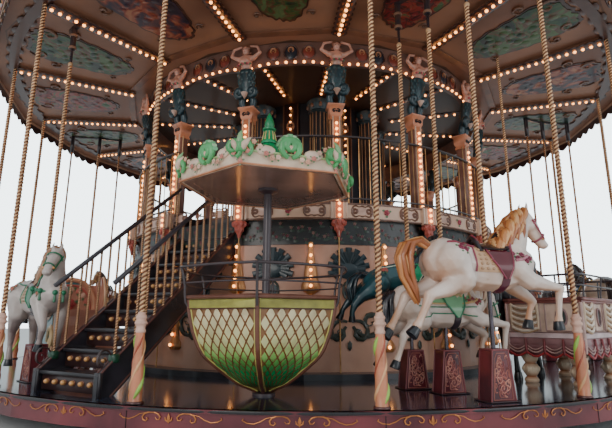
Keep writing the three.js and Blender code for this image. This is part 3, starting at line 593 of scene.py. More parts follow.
# Upper deck: dark boards on the drum, a cream fascia round its edge and thin brass rails above it.
# The fascia carries brown scroll frames in pairs with a crimson rose between them.
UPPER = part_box("upper_floor")[1].z
FASCIA = 3.7
UPPER_FLOOR_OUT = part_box("upper_floor")[1].x
CREAM = tone(232, 200, 178)
BROWN = tone(126, 84, 66)
repaint("upper_floor", board_finish("upper boards", tone(78, 66, 64), tone(44, 38, 42), 0.35))
fascia_paint = coat("fascia paint", tone(230, 190, 164), tone(204, 158, 132), patch=1.4, rough=0.4,
                    gloss=0.3)
repaint("upper_fascia_right", fascia_paint)
repaint("upper_fascia_left", fascia_paint)

MIDDLE = (UPPER + UNDER_FLOOR) / 2
frames = shape()
for at in (-0.38, 0.38):
    for side in (-1, 1):
        for lift in (-1, 1):
            lead = [(at, 0, lift * 0.072, 0.008), (at + side * 0.05, 0, lift * 0.066, 0.011),
                    (at + side * 0.1, 0, lift * 0.082, 0.012)]
            curl = scroll((at + side * 0.1, lift * 0.082), 0 if side > 0 else math.pi, 0.062, 5,
                          hand=-side * lift, thick=0.2)
            add(frames, tubes([lead, curl], sides=1))
    ball(frames, (at, 0, 0.076), 0.02, (1.4, 0.6, 0.7))
    ball(frames, (at, 0, -0.076), 0.02, (1.4, 0.6, 0.7))
bmesh.ops.scale(frames, vec=(1, 0.7, 1), verts=frames.verts)
dye(frames, BROWN)
add(frames, rose(size=0.048))
for at in (-0.38, 0.38):
    ball(frames, (at, 0.006, 0), 0.14, (1, 0.05, 0.42), fine=2)
dye(frames, tone(222, 178, 160))
frames.transform(shift(BAY / 2 * FASCIA, -FASCIA - 0.004, MIDDLE))
frames = thinned(wrap(frames, FASCIA), 0.42)
round_axis(frames, POLES)
stand("fascia_scrolls", frames, show_paint, slot="fascia_paint")

STAIR_AT = math.radians(-33.75)
LINE_GAP = 0.17
lines = shape()
for low, high, out in ((UNDER_FLOOR, UNDER_FLOOR + 0.018, 0.012), (UPPER - 0.024, UPPER, 0.016)):
    for half in (0, math.pi):
        start = STAIR_AT + half + LINE_GAP
        section = [(FASCIA - 0.004 + d, z) for d, z in ((0, low), (out, low), (out, high), (0, high))]
        swept(lines, section, 64, start, math.pi - 2 * LINE_GAP)
dye(lines, BROWN)
stand("fascia_lines", lines, show_paint, slot="fascia_paint")

RAIL = 3.617
RAIL_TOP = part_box("upper_railing_right")[1].z
old_brass = coat("old brass", tone(196, 152, 104), tone(146, 104, 68), patch=7, rough=0.3, metal=0.9,
                 relief=0.05)
RAIL_GAP = math.asin(0.6003 / RAIL)
span = math.pi - 2 * RAIL_GAP
starts = [STAIR_AT + half * math.pi + RAIL_GAP for half in (0, 1)]
rail = shape()
for start in starts:
    for n in range(61):
        turn = about(start + span * n / 60)
        thick = 0.014 if n % 10 == 0 else 0.0075
        bmesh.ops.create_cone(rail, segments=6, radius1=thick, radius2=thick, depth=RAIL_TOP - UPPER - 0.02,
                              cap_ends=True, matrix=turn @ shift(0, -RAIL, (RAIL_TOP + UPPER) / 2 - 0.01))
dye(rail, tone(220, 172, 120))
for start in starts:
    for height, wide, tall in ((RAIL_TOP - 0.012, 0.026, 0.012), (UPPER + 0.09, 0.014, 0.01)):
        corners = ((wide, -tall), (wide, tall), (-wide, tall), (-wide, -tall))
        swept(rail, [(RAIL + dy, height + dz) for dy, dz in corners], 72, start, span)
dye(rail, tone(70, 58, 58), finish=1)
stand("upper_rail", rail, old_brass, painted("rail paint", rough=0.4, metal=0.3), slot="brass_tube",
      nodes=("upper_railing_right", "upper_railing_left"))

# Framed plates on the fascia under the columns, each with a carved salmon drop hung below it.
# Three of the bulbs that light a column run on down its plate.
SALMON = tone(222, 138, 100)


def block(low, high, edge=0.004):
    """A box between two corners with its edges eased"""
    bm = shape()
    size = [b - a for a, b in zip(low, high)]
    middle = [(a + b) / 2 for a, b in zip(low, high)]
    bmesh.ops.create_cube(bm, size=1, matrix=Matrix.Translation(middle) @ Matrix.Diagonal((*size, 1)))
    bmesh.ops.bevel(bm, geom=bm.edges[:], offset=edge, offset_type="OFFSET", affect="EDGES", segments=1,
                    profile=0.5, material=-1)
    return bm


def boxed(whole, colour, low, high, edge=0.004):
    """Adds an eased box in one colour to a shape"""
    return add(whole, dye(block(low, high, edge), colour))


PLATE = UPPER_FLOOR_OUT + 0.105
plate = dye(block((-0.052, -PLATE - 0.006, UNDER_FLOOR - 0.012), (0.052, -PLATE + 0.01, UPPER + 0.012)),
            SALMON)
for side in (-1, 1):
    for at in (0.062, 0.112):
        boxed(plate, CREAM, (side * at - 0.009, -PLATE - 0.014, UNDER_FLOOR - 0.02),
              (side * at + 0.009, -PLATE + 0.01, UPPER + 0.02))
for height in (UNDER_FLOOR - 0.012, UPPER + 0.008):
    boxed(plate, BROWN, (-0.121, -PLATE - 0.016, height - 0.01), (0.121, -PLATE + 0.01, height + 0.01))
drop = turned([(0, -0.27), (0.022, -0.265), (0.03, -0.22), (0.075, -0.12), (0.09, -0.05), (0.095, -0.02),
               (0, -0.02)], 8)
for n in range(7):
    turn = n * 2 * math.pi / 7
    ball(drop, (0.085 * math.cos(turn), 0.085 * math.sin(turn), -0.06), 0.035, (1, 1, 1.4))
    ball(drop, (0.05 * math.cos(turn + 0.4), 0.05 * math.sin(turn + 0.4), -0.14), 0.026, (1, 1, 1.6))
dye(drop, tone(196, 92, 76))
bmesh.ops.scale(drop, vec=(1, 0.8, 1), verts=drop.verts)
add(plate, drop, shift(0, -UPPER_FLOOR_OUT - 0.062, UNDER_FLOOR))
add(plate, bulbs(*(shift(0, -PLATE - 0.008, UNDER_FLOOR + 0.04 + 0.085 * n) for n in range(3))))
for side in (0, 1):
    run = shape()
    add(run, plate, *(about(k * BAY + side * math.pi) for k in range(-1, 7)))
    stand(f"fascia_plates_{side + 1}", run, show_paint, lit, slot="fascia_paint")

# Columns of the upper storey: boxed wood with a salmon face between cream beads, and brass tubes beside it.
# The capital is salmon with dark carved scrolls, and a line of bulbs runs down the face.
HEAD = 4.42
FACE = 3.58


def barred(whole, colour, *paths, sides=1):
    """Adds round bars in one colour to a shape"""
    return add(whole, dye(tubes(paths, sides), colour))


# The boxed wood is painted a dull brown, the shade that lies on the column's sides.
column = dye(block((-0.064, -FACE + 0.004, UPPER), (0.064, -FACE + 0.17, HEAD - 0.2)), tone(150, 104, 92))
boxed(column, SALMON, (-0.042, -FACE - 0.004, UPPER), (0.042, -FACE + 0.02, HEAD - 0.2))
for side in (-1, 1):
    boxed(column, CREAM, (side * 0.052 - 0.01, -FACE - 0.014, UPPER),
          (side * 0.052 + 0.01, -FACE + 0.02, HEAD - 0.2))
    barred(column, tone(186, 138, 96), [(side * 0.086, -FACE + 0.05, z, 0.013)
                                        for z in (UPPER, HEAD - 0.22)])
capital = turned([(0, -0.25), (0.125, -0.25), (0.125, -0.22), (0.11, -0.2), (0.14, -0.15), (0.15, -0.05),
                  (0.18, -0.03), (0.19, 0), (0, 0)], 4)
capital.transform(shift(0, -FACE + 0.09, HEAD) @ about(math.pi / 4))
add(column, dye(capital, SALMON))
curl = tubes([scroll((side * 0.008, -0.06), math.pi / 2 - side * 0.7, 0.03, 5, hand=-side, thick=0.24)
              for side in (-1, 1)], 1)
ball(curl, (0, 0, -0.085), 0.016)
dye(curl, NOSING)
add(column, curl, shift(0, -FACE - 0.02, HEAD - 0.03))
add(column, bulbs(*(shift(0, -FACE - 0.008, UPPER + 0.06 + 0.093 * n) for n in range(14))))

# Mermaid that stands on each capital, carved in wood and leaning out: painted bust, arms looped round the
# head, a belt of roses, and a dark teal tail that ends in two curls with a pale shield between them.
def fuse(bm, cell, rounds=3):
    """Melts overlapping blobs and bars into one carved skin"""
    holder = laid_out(bm)
    melt = holder.modifiers.new("melt", "REMESH")
    melt.mode = "VOXEL"
    melt.voxel_size = cell
    ease = holder.modifiers.new("ease", "SMOOTH")
    ease.factor = 0.5
    ease.iterations = rounds
    return taken_back(holder)


def limb(bm, *points):
    """Adds a rounded bar along (x, y, z, radius) points"""
    add(bm, tubes([points], sides=2))
    for x, y, z, radius in points:
        ball(bm, (x, y, z), radius, fine=2)
    return bm


def set_back(line, y):
    """The same line of points at another depth"""
    return [(x, y, z, width) for x, _, z, width in line]


SKIN = tone(212, 156, 136)
bust = shape()
limb(bust, (0, 0.01, 0.5, 0.1), (0, 0, 0.62, 0.082), (0, -0.01, 0.72, 0.1))
limb(bust, (-0.115, 0, 0.8, 0.042), (0, -0.005, 0.79, 0.075), (0.115, 0, 0.8, 0.042))
limb(bust, (0, 0, 0.82, 0.036), (0, -0.005, 0.9, 0.032))
for side in (-1, 1):
    ball(bust, (side * 0.045, -0.075, 0.725), 0.045, fine=2)
    limb(bust, (side * 0.12, 0, 0.8, 0.04), (side * 0.24, -0.02, 0.86, 0.03),
         (side * 0.2, -0.02, 0.96, 0.024), (side * 0.08, 0.0, 1.0, 0.022))
ball(bust, (0, -0.01, 0.925), 0.058, (0.95, 1, 1.25), fine=3)
ball(bust, (0, -0.066, 0.916), 0.013, (0.7, 0.9, 1.4), fine=2)
bust = dye(thinned(fuse(bust, 0.0115), 0.18), SKIN)
hair = shape()
for x, y, z, size in ((0, 0.02, 0.96, 0.062), (-0.04, 0.0, 0.965, 0.036), (0.04, 0, 0.965, 0.036),
                      (0, 0.05, 0.88, 0.05), (-0.05, 0.03, 0.9, 0.035), (0.05, 0.03, 0.9, 0.035)):
    ball(hair, (x, y, z), size, (1, 0.9, 0.9), fine=2)
add(bust, dye(hair, tone(150, 92, 66)))
face = shape()
for side in (-1, 1):
    ball(face, (side * 0.021, -0.062, 0.93), 0.007, (1.5, 0.6, 0.7))
dye(face, tone(60, 40, 40))
ball(face, (0, -0.063, 0.886), 0.011, (1.3, 0.5, 0.45))
dye(face, tone(180, 84, 80))
add(bust, face)
for n in range(9):
    x = (n - 4) * 0.025
    y = -0.1 - 0.02 * math.cos((n - 4) * 0.5)
    ball(bust, (x, y, 0.665 + 0.006 * (n % 2)), 0.019)
    dye(bust, (ROSE, tone(226, 128, 120), LEAF)[n % 3])
tail = turned([(0, 0.17), (0.1, 0.17), (0.115, 0.22), (0.122, 0.3), (0.135, 0.42), (0.14, 0.53),
               (0.125, 0.6), (0, 0.61)], 20)
bmesh.ops.scale(tail, vec=(1, 0.7, 1), verts=tail.verts)
for side in (-1, 1):
    line = scroll((side * 0.03, 0.2), -math.pi / 2 + side * 0.35, 0.078, 8, hand=side, thick=0.4,
                  shrink=0.76)
    add(tail, tubes([set_back(line, -0.055)], sides=2))
    add(tail,
        tubes([[(side * 0.07, 0.03, 0.0, 0.05), (side * 0.1, 0.02, 0.1, 0.06),
                (side * 0.06, 0.02, 0.22, 0.06)]]))
dye(tail, tone(34, 58, 66))
for row in range(7):
    for n in range(6):
        turn = math.radians(-75 + 30 * (n + row % 2 / 2))
        wide = 0.112 + 0.004 * row
        ball(tail, (wide * math.sin(turn), -0.7 * wide * math.cos(turn), 0.235 + 0.052 * row), 0.027,
             (1.1, 0.45, 1.1))
dye(tail, tone(46, 78, 82))
shield = tubes([[(0, -0.1, 0.2, 0.06), (0, -0.105, 0.16, 0.034), (0, -0.1, 0.11, 0.006)]], sides=2)
add(tail, dye(shield, tone(216, 176, 158)))
add(bust, thinned(tail, 0.4))
slant = Matrix(((1, 0, 0, 0), (0, 1, -0.12, -FACE + 0.03), (0, 0, 1, HEAD), (0, 0, 0, 1)))
add(column, bust, slant)
round_axis(column, POLES)
stand("columns", column, show_paint, lit, slot="wall_paint", nodes=("colonnade_right", "colonnade_left"),
      smooth=60)

# Frieze over the columns: bent boards cut to flattened arches below, with a row of bulbs on their edge.
# Three oval medallions to a bay stand in it, a dark one between two red-brown ones.
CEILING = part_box("ceiling")[0].z
SPRING = 5.09
MEDALLION = 5.29
wide = BAY * FACE
arch = shape()
bmesh.ops.create_grid(arch, x_segments=20, y_segments=1, size=0.5)
arch.transform(shift(0, -FACE - 0.004, 0) @ Matrix.Rotation(math.pi / 2, 4, "X")
               @ Matrix.Diagonal((wide, 1, 1, 1)))
for vert in arch.verts:
    dip = SPRING - 0.075 * abs(2 * vert.co.x / wide) ** 4
    vert.co.z = dip if vert.co.z < 0 else CEILING - 0.003
# The boards are painted a dull brown in place of their cream: painted shade under the ceiling.
dye(thicken(arch, (0, 0.055, 0)), tone(124, 92, 82))
for x, colour, size in ((-0.28, tone(136, 62, 50), 0.1), (0, tone(40, 44, 56), 0.108),
                        (0.28, tone(136, 62, 50), 0.1)):
    barred(arch, tone(92, 60, 50), oval(x, -FACE - 0.012, MEDALLION, size * 1.04, size * 1.2, 0.011))
    ball(arch, (x, -FACE, MEDALLION), size, (1, 0.16, 1.15), fine=2)
    dye(arch, colour)
    for side in (-1, 1):
        line = scroll((x + side * 0.02, MEDALLION), side * 0.4 + (math.pi if side < 0 else 0), 0.05, 4,
                      hand=side, thick=0.16)
        barred(arch, tone(176, 120, 84), set_back(line, -FACE - 0.018))
for n in range(10):
    x = wide * (n - 4.5) / 10
    dip = SPRING - 0.075 * abs(2 * x / wide) ** 4
    add(arch, bulbs(shift(x, -FACE - 0.012, dip + 0.022)))
edge_line = [(wide * (n / 20 - 0.5), -FACE - 0.012, SPRING - 0.075 * abs(n / 10 - 1) ** 4, 0.011)
             for n in range(21)]
barred(arch, tone(92, 60, 50), edge_line)
arch = thinned(wrap(arch, FACE), 0.5)
arch.transform(about(BAY / 2))
round_axis(arch, POLES)
stand("frieze", arch, show_paint, lit, slot="wall_paint")

# Core of the upper storey: boards in dark teal and brown panels, and eight fluted columns with tan fillets.
# A row of bulbs climbs the panel between each two columns and meets its rib under the ceiling.
CORE = 1.4
FLUTED = 1.53
repaint("inner_core", coat("core paint", tone(54, 56, 62), tone(44, 34, 38), patch=1.7, rough=0.45,
                           gloss=0.2))
flutes = shape()
for n in range(14):
    turn = n * 2 * math.pi / 14
    x, y = 0.178 * math.sin(turn), -FLUTED - 0.178 * math.cos(turn)
    add(flutes, tubes([[(x, y, 2.95, 0.009), (x, y, 5.16, 0.009)]], sides=1))
dye(flutes, tone(190, 138, 100))
add(flutes,
    dye(turned([(0.2, 2.84), (0.23, 2.86), (0.23, 2.9), (0.205, 2.94), (0.18, 2.96), (0.0, 2.97)], 16,
               at=(0, -FLUTED)), tone(58, 76, 82)))
add(flutes,
    dye(turned([(0, 5.14), (0.185, 5.15), (0.21, 5.18), (0.19, 5.22), (0.24, 5.32), (0.25, 5.4), (0, 5.42)],
               16, at=(0, -FLUTED)), tone(58, 76, 82)))
for n in range(8):
    turn = n * math.pi / 4
    ball(flutes, (0.22 * math.sin(turn), -FLUTED - 0.22 * math.cos(turn), 5.29), 0.04, (1, 1, 1.5))
dye(flutes, tone(150, 104, 80))
round_axis(flutes, 8)
stand("core_flutes", flutes, show_paint, slot="core_paint", smooth=50)

panel = dye(block((-0.17, -CORE - 0.035, UPPER + 0.03), (0.17, -CORE + 0.02, CEILING - 0.02)),
            tone(62, 42, 42))
for side in (-1, 1):
    boxed(panel, tone(120, 84, 66), (side * 0.15 - 0.012, -CORE - 0.05, UPPER + 0.03),
          (side * 0.15 + 0.012, -CORE, CEILING - 0.02))
for height in (3.3, 4.1, 4.9):
    for side in (-1, 1):
        line = scroll((side * 0.05, height), math.pi / 2 - side * 0.9, 0.09, 5, hand=side, thick=0.15)
        barred(panel, tone(176, 120, 84), set_back(line, -CORE - 0.045))
add(panel, bulbs(*(shift(0, -CORE - 0.04, UPPER + 0.12 + 0.15 * n) for n in range(17))))
panel.transform(about(BAY))
round_axis(panel, 8)
stand("core_panels", panel, show_paint, lit, slot="core_paint", smooth=50)

# Ceiling of painted boards: warm tan outside the columns and dark brown over the upper storey.
# Each bay has a painted panel of leaves and drapery in a cut edge, with gold loops at its outer end.
ceiling_coat = coat("ceiling paint", tone(154, 108, 84), tone(118, 78, 60), patch=0.7, rough=0.5, grain=30,
                    gloss=0.15)
out, bay = bay_place(ceiling_coat)
inner = worked(ceiling_coat, "LESS_THAN", out, FACE)
seam = worked(ceiling_coat, "LESS_THAN", worked(ceiling_coat, "ABSOLUTE",
                                                worked(ceiling_coat, "SUBTRACT", out, 5.94)), 0.012)
shade = worked(ceiling_coat, "SUBTRACT", worked(ceiling_coat, "SUBTRACT", 1.0,
                                                worked(ceiling_coat, "MULTIPLY", inner, 0.72)),
               worked(ceiling_coat, "MULTIPLY", seam, 0.4))
repaint("ceiling", tinted(ceiling_coat, shade))


def painting(name, *tones):
    """Loose brushwork of leaves and folds in a row of tones, dark to light"""
    material = coat(name, tones[-1], tones[0], patch=2.4, rough=0.4, grain=60, gloss=0.3)
    nodes, links = material.node_tree.nodes, material.node_tree.links
    ramp = next(n for n in nodes if n.bl_idname == "ShaderNodeValToRGB")
    cloud = ramp.inputs["Fac"].links[0].from_node
    cloud.inputs["Distortion"].default_value = 1.6
    for n, colour in enumerate(tones[1:-1]):
        stop = ramp.color_ramp.elements.new(0.4 + 0.2 * (n + 0.6) / (len(tones) - 1))
        stop.color = colour
    return material


GLADE = painting("green painting", tone(20, 32, 30), tone(30, 62, 44), tone(52, 84, 46), tone(92, 54, 44),
                 tone(80, 104, 66))
DRAPE = painting("red painting", tone(40, 18, 26), tone(128, 30, 38), tone(56, 38, 38), tone(146, 48, 42),
                 tone(66, 94, 62))
DUSK = painting("dusk painting", tone(22, 26, 42), tone(52, 38, 56), tone(92, 48, 46), tone(138, 60, 44),
                tone(162, 104, 74))


def cut_leaf(grow, depth):
    """Flat panel with an irregular scalloped edge, widest towards the rim, lying under the ceiling"""
    bm = shape()
    bmesh.ops.create_circle(bm, cap_ends=True, segments=120, radius=1)
    for vert in bm.verts:
        angle = math.atan2(vert.co.y, vert.co.x)
        lobes = (1 + 0.045 * abs(math.sin(8.5 * angle)) + 0.03 * math.sin(5 * angle + 1)
                 + 0.02 * math.sin(23 * angle))
        squarer = (abs(math.cos(angle)) ** 3 + abs(math.sin(angle)) ** 3) ** (-1 / 3)
        along = math.sin(angle) * 0.78 * squarer * lobes * grow
        vert.co.x = math.cos(angle) * (0.44 - 0.15 * along) * squarer * lobes * grow
        vert.co.y = along - 4.96
    thicken(bm, (0, 0, CEILING - depth))
    for vert in bm.verts:
        vert.co.z = vert.co.z or CEILING + 0.004
    bmesh.ops.recalc_face_normals(bm, faces=bm.faces)
    return bm


for turn, (name, finish) in enumerate((("red", DRAPE), ("green", GLADE), ("dusk", DUSK),
                                       ("green_more", GLADE))):
    group = dye(cut_leaf(1.0, 0.012), tone(70, 44, 40))
    add(group, dye(cut_leaf(0.93, 0.02), (0.9, 0.9, 0.9, 1), finish=1))
    for n in range(26):
        angle = n * 2.399
        reach = 0.68 * math.sqrt((n + 0.5) / 26)
        x, y = 0.5 * reach * math.cos(angle), 0.98 * reach * math.sin(angle)
        size = 0.075 + 0.04 * noise.noise((x * 9, y * 9, turn * 5.0))
        ball(group, (x, y - 4.96, CEILING - 0.02), size, (1.1, 0.8 + 0.3 * math.sin(n), 0.12))
    dye(group, (0.7, 0.7, 0.7, 1), finish=1)
    loops = shape()
    for side in (-1, 1):
        for start, heading, size, hand in (((side * 0.40, -5.66), 0.4, 0.13, side),
                                           ((side * 0.47, -5.2), 1.2, 0.1, -side),
                                           ((side * 0.32, -4.3), -1.9, 0.07, side)):
            line = scroll(start, math.pi - heading if side < 0 else heading, size, 6, hand=hand, thick=0.13)
            add(loops, tubes([[(x, z, CEILING - 0.014, w) for x, _, z, w in line]], sides=1))
    add(group, thinned(dye(loops, tone(112, 74, 54)), 0.5))
    whole = shape()
    add(whole, group, *(about(BAY / 2 + (turn + 4 * n) * BAY) for n in range(4)))
    stand(f"ceiling_panels_{name}", whole, show_paint, finish, slot="ceiling_paint", smooth=50)

# Ribs under the ceiling, one to each pole, running on inside the columns to the core.
# Each wears a dark cut band with gold leaves, and carries seventeen bulbs outside and ten inside.
repaint("ceiling_ribs", coat("rib paint", tone(132, 88, 66), tone(104, 68, 52), patch=3, rough=0.45,
                             gloss=0.2))
UNDER_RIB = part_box("ceiling_ribs")[0].z
rib = shape()
for start, end, count, half, low in ((3.87, 5.83, 17, 0.1, UNDER_RIB), (1.78, 3.42, 10, 0.075, CEILING)):
    step = (end - start) / count
    strip = block((-half, -end, low - 0.012), (half, -start, low + 0.002), 0.002)
    add(rib, dye(strip, tone(66, 40, 36)))
    for n in range(count):
        y = -start - step * (n + 0.5)
        for side in (-1, 1):
            ball(rib, (side * half, y, low - 0.006), step * 0.42, (0.62, 1, 0.12))
            dye(rib, tone(66, 40, 36))
            ball(rib, (side * half * 0.62, y, low - 0.014), step * 0.3, (0.5, 1, 0.16))
            dye(rib, tone(164, 92, 58))
    lamps = [shift(0, -start - step * (n + 0.5), low - 0.012) @ Matrix.Rotation(-math.pi / 2, 4, "X")
             @ Matrix.Rotation(math.pi, 4, "X") for n in range(count)]
    add(rib, bulbs(*lamps))
round_axis(rib, POLES)
stand("rib_bands", rib, show_paint, lit, slot="ceiling_paint", smooth=50)

# Outer poles: brass tube twisted like rope, from the edge of the ceiling down to a ringed collar.
# Below the collar each stands in a tapered wooden sleeve, painted peach with a green leaf wound round it.
def out_at(turn, reach, *rest):
    """A point at a reach from the axis, turned away from -Y, with its height and the like"""
    return (reach * math.sin(turn), -reach * math.cos(turn), *rest)


def rope(length, radius, pitch, sides=8, steps=8, finish=2):
    """Twisted bar that stands on the origin, with painted shade making its grooves darker than its crests
    """
    bm = shape()
    bmesh.ops.create_circle(bm, segments=sides, radius=radius)
    for vert in bm.verts:
        vert.co *= 1 + 0.16 * math.cos(2 * math.atan2(vert.co.y, vert.co.x))
    count = max(2, round(length / pitch * steps))
    bmesh.ops.spin(bm, geom=bm.verts[:] + bm.edges[:], cent=(0, 0, 0), axis=(0, 0, 1),
                   dvec=(0, 0, length / count), angle=count * 2 * math.pi / steps, steps=count)
    bmesh.ops.recalc_face_normals(bm, faces=bm.faces)
    # Crests are painted light brass and grooves dark brown: painted shade in the grooves.
    layer = bm.loops.layers.float_color["paint"]
    middle = math.cos(math.pi / sides) * math.cos(math.pi / steps)
    for face in bm.faces:
        face.material_index = finish
        centre = face.calc_center_median()
        crest = math.hypot(centre.x, centre.y) > radius * middle
        for loop in face.loops:
            loop[layer] = tone(246, 194, 146) if crest else tone(122, 74, 48)
    return bm


POLE = 5.864
COLLAR = DECK + 0.65
PEACH = tone(216, 136, 100)
pole = rope(CEILING - COLLAR - 0.13, 0.028, 0.09, steps=7)
pole.transform(shift(0, 0, COLLAR + 0.12))
collar = turned([(0.03, 0.19), (0.036, 0.185), (0.038, 0.165), (0.05, 0.155), (0.055, 0.14), (0.048, 0.125),
                 (0.045, 0.11), (0.06, 0.095), (0.062, 0.08), (0.05, 0.068), (0.043, 0.055), (0.043, 0.03),
                 (0.05, 0.02), (0.05, 0.0), (0.036, -0.01)], 16)
collar.transform(shift(0, 0, COLLAR))
add(pole, dye(collar, tone(232, 184, 164)))
sleeve = turned([(0, 0.0), (0.066, 0.0), (0.066, 0.02), (0.058, 0.03), (0.06, 0.12), (0.054, 0.35),
                 (0.042, 0.655), (0, 0.66)], 20)
sleeve.transform(shift(0, 0, DECK))
dye(sleeve, PEACH)
for start, colour, thick in ((0.3, tone(156, 200, 84), 0.017), (2.4, tone(176, 78, 52), 0.009),
                             (4.3, tone(236, 178, 128), 0.012)):
    line = []
    for n in range(17):
        share = n / 16
        reach = 0.058 - 0.016 * share
        width = thick * (0.35 + abs(math.sin(3 * math.pi * share)) ** 0.7)
        turn = start + 5.2 * share
        line.append(out_at(turn, reach, DECK + 0.05 + 0.57 * share, width))
    barred(sleeve, colour, line)
ring = turned([(0.07, 0.0), (0.078, 0.004), (0.078, 0.016), (0.068, 0.024)], 16)
ring.transform(shift(0, 0, DECK))
add(sleeve, dye(ring, tone(96, 54, 50)))
add(pole, sleeve)
pole.transform(shift(0, -POLE, 0))
BORDER_IN, BORDER_OUT = POLE - 0.05, POLE + 0.09
section = [(BORDER_IN, CEILING - 0.03), (BORDER_OUT, CEILING - 0.03), (BORDER_OUT, CEILING - 0.001),
           (BORDER_IN, CEILING - 0.001)]
border = swept(shape(), section, 6, -BAY / 2, BAY)
for n in range(7):
    turn = (n - 3) * BAY / 7
    for reach in (BORDER_IN, BORDER_OUT):
        ball(border, out_at(turn, reach, CEILING - 0.018), 0.12, (1, 0.5, 0.12))
add(pole, dye(border, tone(84, 54, 48)))
rope_brass = painted("rope brass", rough=0.3, metal=0.6, patch=9, dirt=0.25)
for quarter, name in enumerate(("front", "right", "rear", "left")):
    four = shape()
    add(four, pole, *(about((4 * quarter + n) * BAY) for n in range(4)))
    stand(f"poles_{name}", four, show_paint, lit, rope_brass, slot="brass_tube",
          nodes=(f"outer_poles_{name}",), smooth=60)

# Stair to the upper deck: dark treads between two stringers edged in red-brown, with amber bulbs on the
# risers. Flat dark handrails stand on twisted brass bars; each foot is a small green newel with curved
# brackets.
RISE = (UPPER - DECK) / 11
GOING = 0.263
FOOT = 5.7
SLOPE = RISE / GOING
RAIL_X = (-0.425, 0.565)
repaint("stair_flight", coat("stair stain", tone(54, 50, 58), tone(34, 32, 38), patch=3, rough=0.3,
                             gloss=0.4))


def nosing_at(rho):
    """Height of the line through the nosings"""
    return DECK + RISE + (FOOT - rho) * SLOPE


trim = shape()
for n in range(1, 11):
    front, height = FOOT - (n - 1) * GOING, DECK + n * RISE
    boxed(trim, tone(48, 44, 50), (-0.39, -front - 0.022, height - 0.034),
          (0.53, -front + 0.02, height + 0.004))
    boxed(trim, tone(66, 44, 44), (-0.39, -front + 0.03, height - RISE + 0.02),
          (0.53, -front + 0.045, height - 0.04))
    lamp = shape()
    ball(lamp, (0, -0.022, 0), 0.028, fine=2)
    dye(lamp, tone(236, 172, 110))
    ball(lamp, (0, -0.004, 0), 0.036, (1, 0.3, 1), fine=1)
    dye(lamp, tone(150, 92, 66))
    add(trim, lamp, *(shift(-0.28 + 0.14 * k, -front + 0.03, height - 0.5 * RISE) for k in range(6)))
for x in (-0.452, -0.398, 0.538, 0.592):
    for lift in (0.02, -0.33):
        near = FOOT + (0.03 if lift > 0 else -0.12)
        far = FOOT - 9.8 * GOING
        line = [(x, -rho, nosing_at(rho) + lift, 0.012) for rho in (near, far)]
        barred(trim, tone(104, 62, 56), line)
for x in RAIL_X:
    boxed(trim, tone(48, 44, 50), (x - 0.045, -FOOT - 0.035, DECK),
          (x + 0.045, -FOOT + 0.005, nosing_at(FOOT) + 0.02))
START = FOOT - 0.16
rails = []
for x in RAIL_X:
    rail = shape()
    first, last = FOOT - 0.08, FOOT - 7.8 * GOING
    grip = block((-0.026, 0, -0.025), (0.026, math.hypot(first - last, (first - last) * SLOPE), 0.02),
                 0.008)
    grip.transform(shift(x, -first, nosing_at(first) + 0.86) @ Matrix.Rotation(math.atan(SLOPE), 4, "X"))
    add(rail, dye(grip, tone(60, 54, 62)))
    for n in range(15):
        rho = START - n * GOING / 2
        bar = rope(0.83, 0.0145, 0.06, sides=6, steps=6)
        add(rail, bar, shift(x, -rho, nosing_at(rho) + 0.015))
    foot_z = nosing_at(START)
    boxed(rail, tone(34, 78, 58), (x - 0.045, -START - 0.045, foot_z - 0.03),
          (x + 0.045, -START + 0.045, foot_z + 0.06), 0.012)
    for turn in (-1, 1):
        line = scroll((0, 0), math.pi / 2, 0.13, 5, hand=turn, thick=0.06)
        bracket = tubes([[(x, -START - 0.02 + px * 0.8, foot_z + pz, w) for px, _, pz, w in line]], sides=1)
        add(rail, dye(bracket, tone(70, 52, 54)))
    rails.append(rail)
flight_turn = about(-1.5 * BAY)
trim.transform(flight_turn)
rear_trim = add(shape(), trim, about(math.pi))
for rail in rails:
    rail.transform(flight_turn)
    add(rear_trim, rail, about(math.pi))
rear_flight = shape()
rear_flight.from_mesh(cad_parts["stair_flight"].data)
bmesh.ops.remove_doubles(rear_flight, verts=rear_flight.verts, dist=1e-5)
dye(rear_flight, tone(48, 44, 50))
add(rear_trim, rear_flight, about(math.pi))
stand("stair_trim", trim, show_paint, slot="stair_boards", smooth=50)
for rail, side in zip(rails, ("left", "right")):
    stand(f"stair_bars_{side}", rail, show_paint, lit, rope_brass, slot="brass_tube",
          nodes=(f"stair_rail_{side}",), smooth=60)
stand("rear_stair", thinned(rear_trim, 0.35), show_paint, lit, rope_brass, slot="stair_boards",
      nodes=("stair_rear",), smooth=50)

# Spinning gondola: a pointed six-sided basket of moulded panels, each covered with leaf-shaped scales.
# The scales go from cream at the top to strong green at the point, with brown ribs edged in yellow
# between the panels.
TUB = Vector((-1.0374, -4.9668, DECK))
TUB_TURN = -0.109
HULL = ((0.09, 0.045), (0.17, 0.082), (0.29, 0.13), (0.41, 0.212), (0.52, 0.295), (0.605, 0.36),
        (0.67, 0.415), (0.735, 0.52), (0.785, 0.643), (0.815, 0.75), (0.84, 0.86), (0.85, 0.965))
HALF = math.pi / 6


def hull_at(share):
    """Corner radius and height at a share of the way up the hull's curve"""
    spans = [math.dist(a, b) for a, b in zip(HULL, HULL[1:])]
    left = share * sum(spans)
    for (r0, z0), (r1, z1), span in zip(HULL, HULL[1:], spans):
        if left <= span:
            return r0 + (r1 - r0) * left / span, z0 + (z1 - z0) * left / span
        left -= span
    return HULL[-1]


def six_sided(profile, turn):
    """A hexagonal body from (corner radius, height) points, a corner on -Y before it is turned"""
    bm = turned([(r, z) for r, z in profile], 6)
    bm.transform(about(turn - math.pi / 2))
    return bm


def six_turns(start):
    """The turns of six like parts, the first at a start angle"""
    return [about(start + n * math.pi / 3) for n in range(6)]


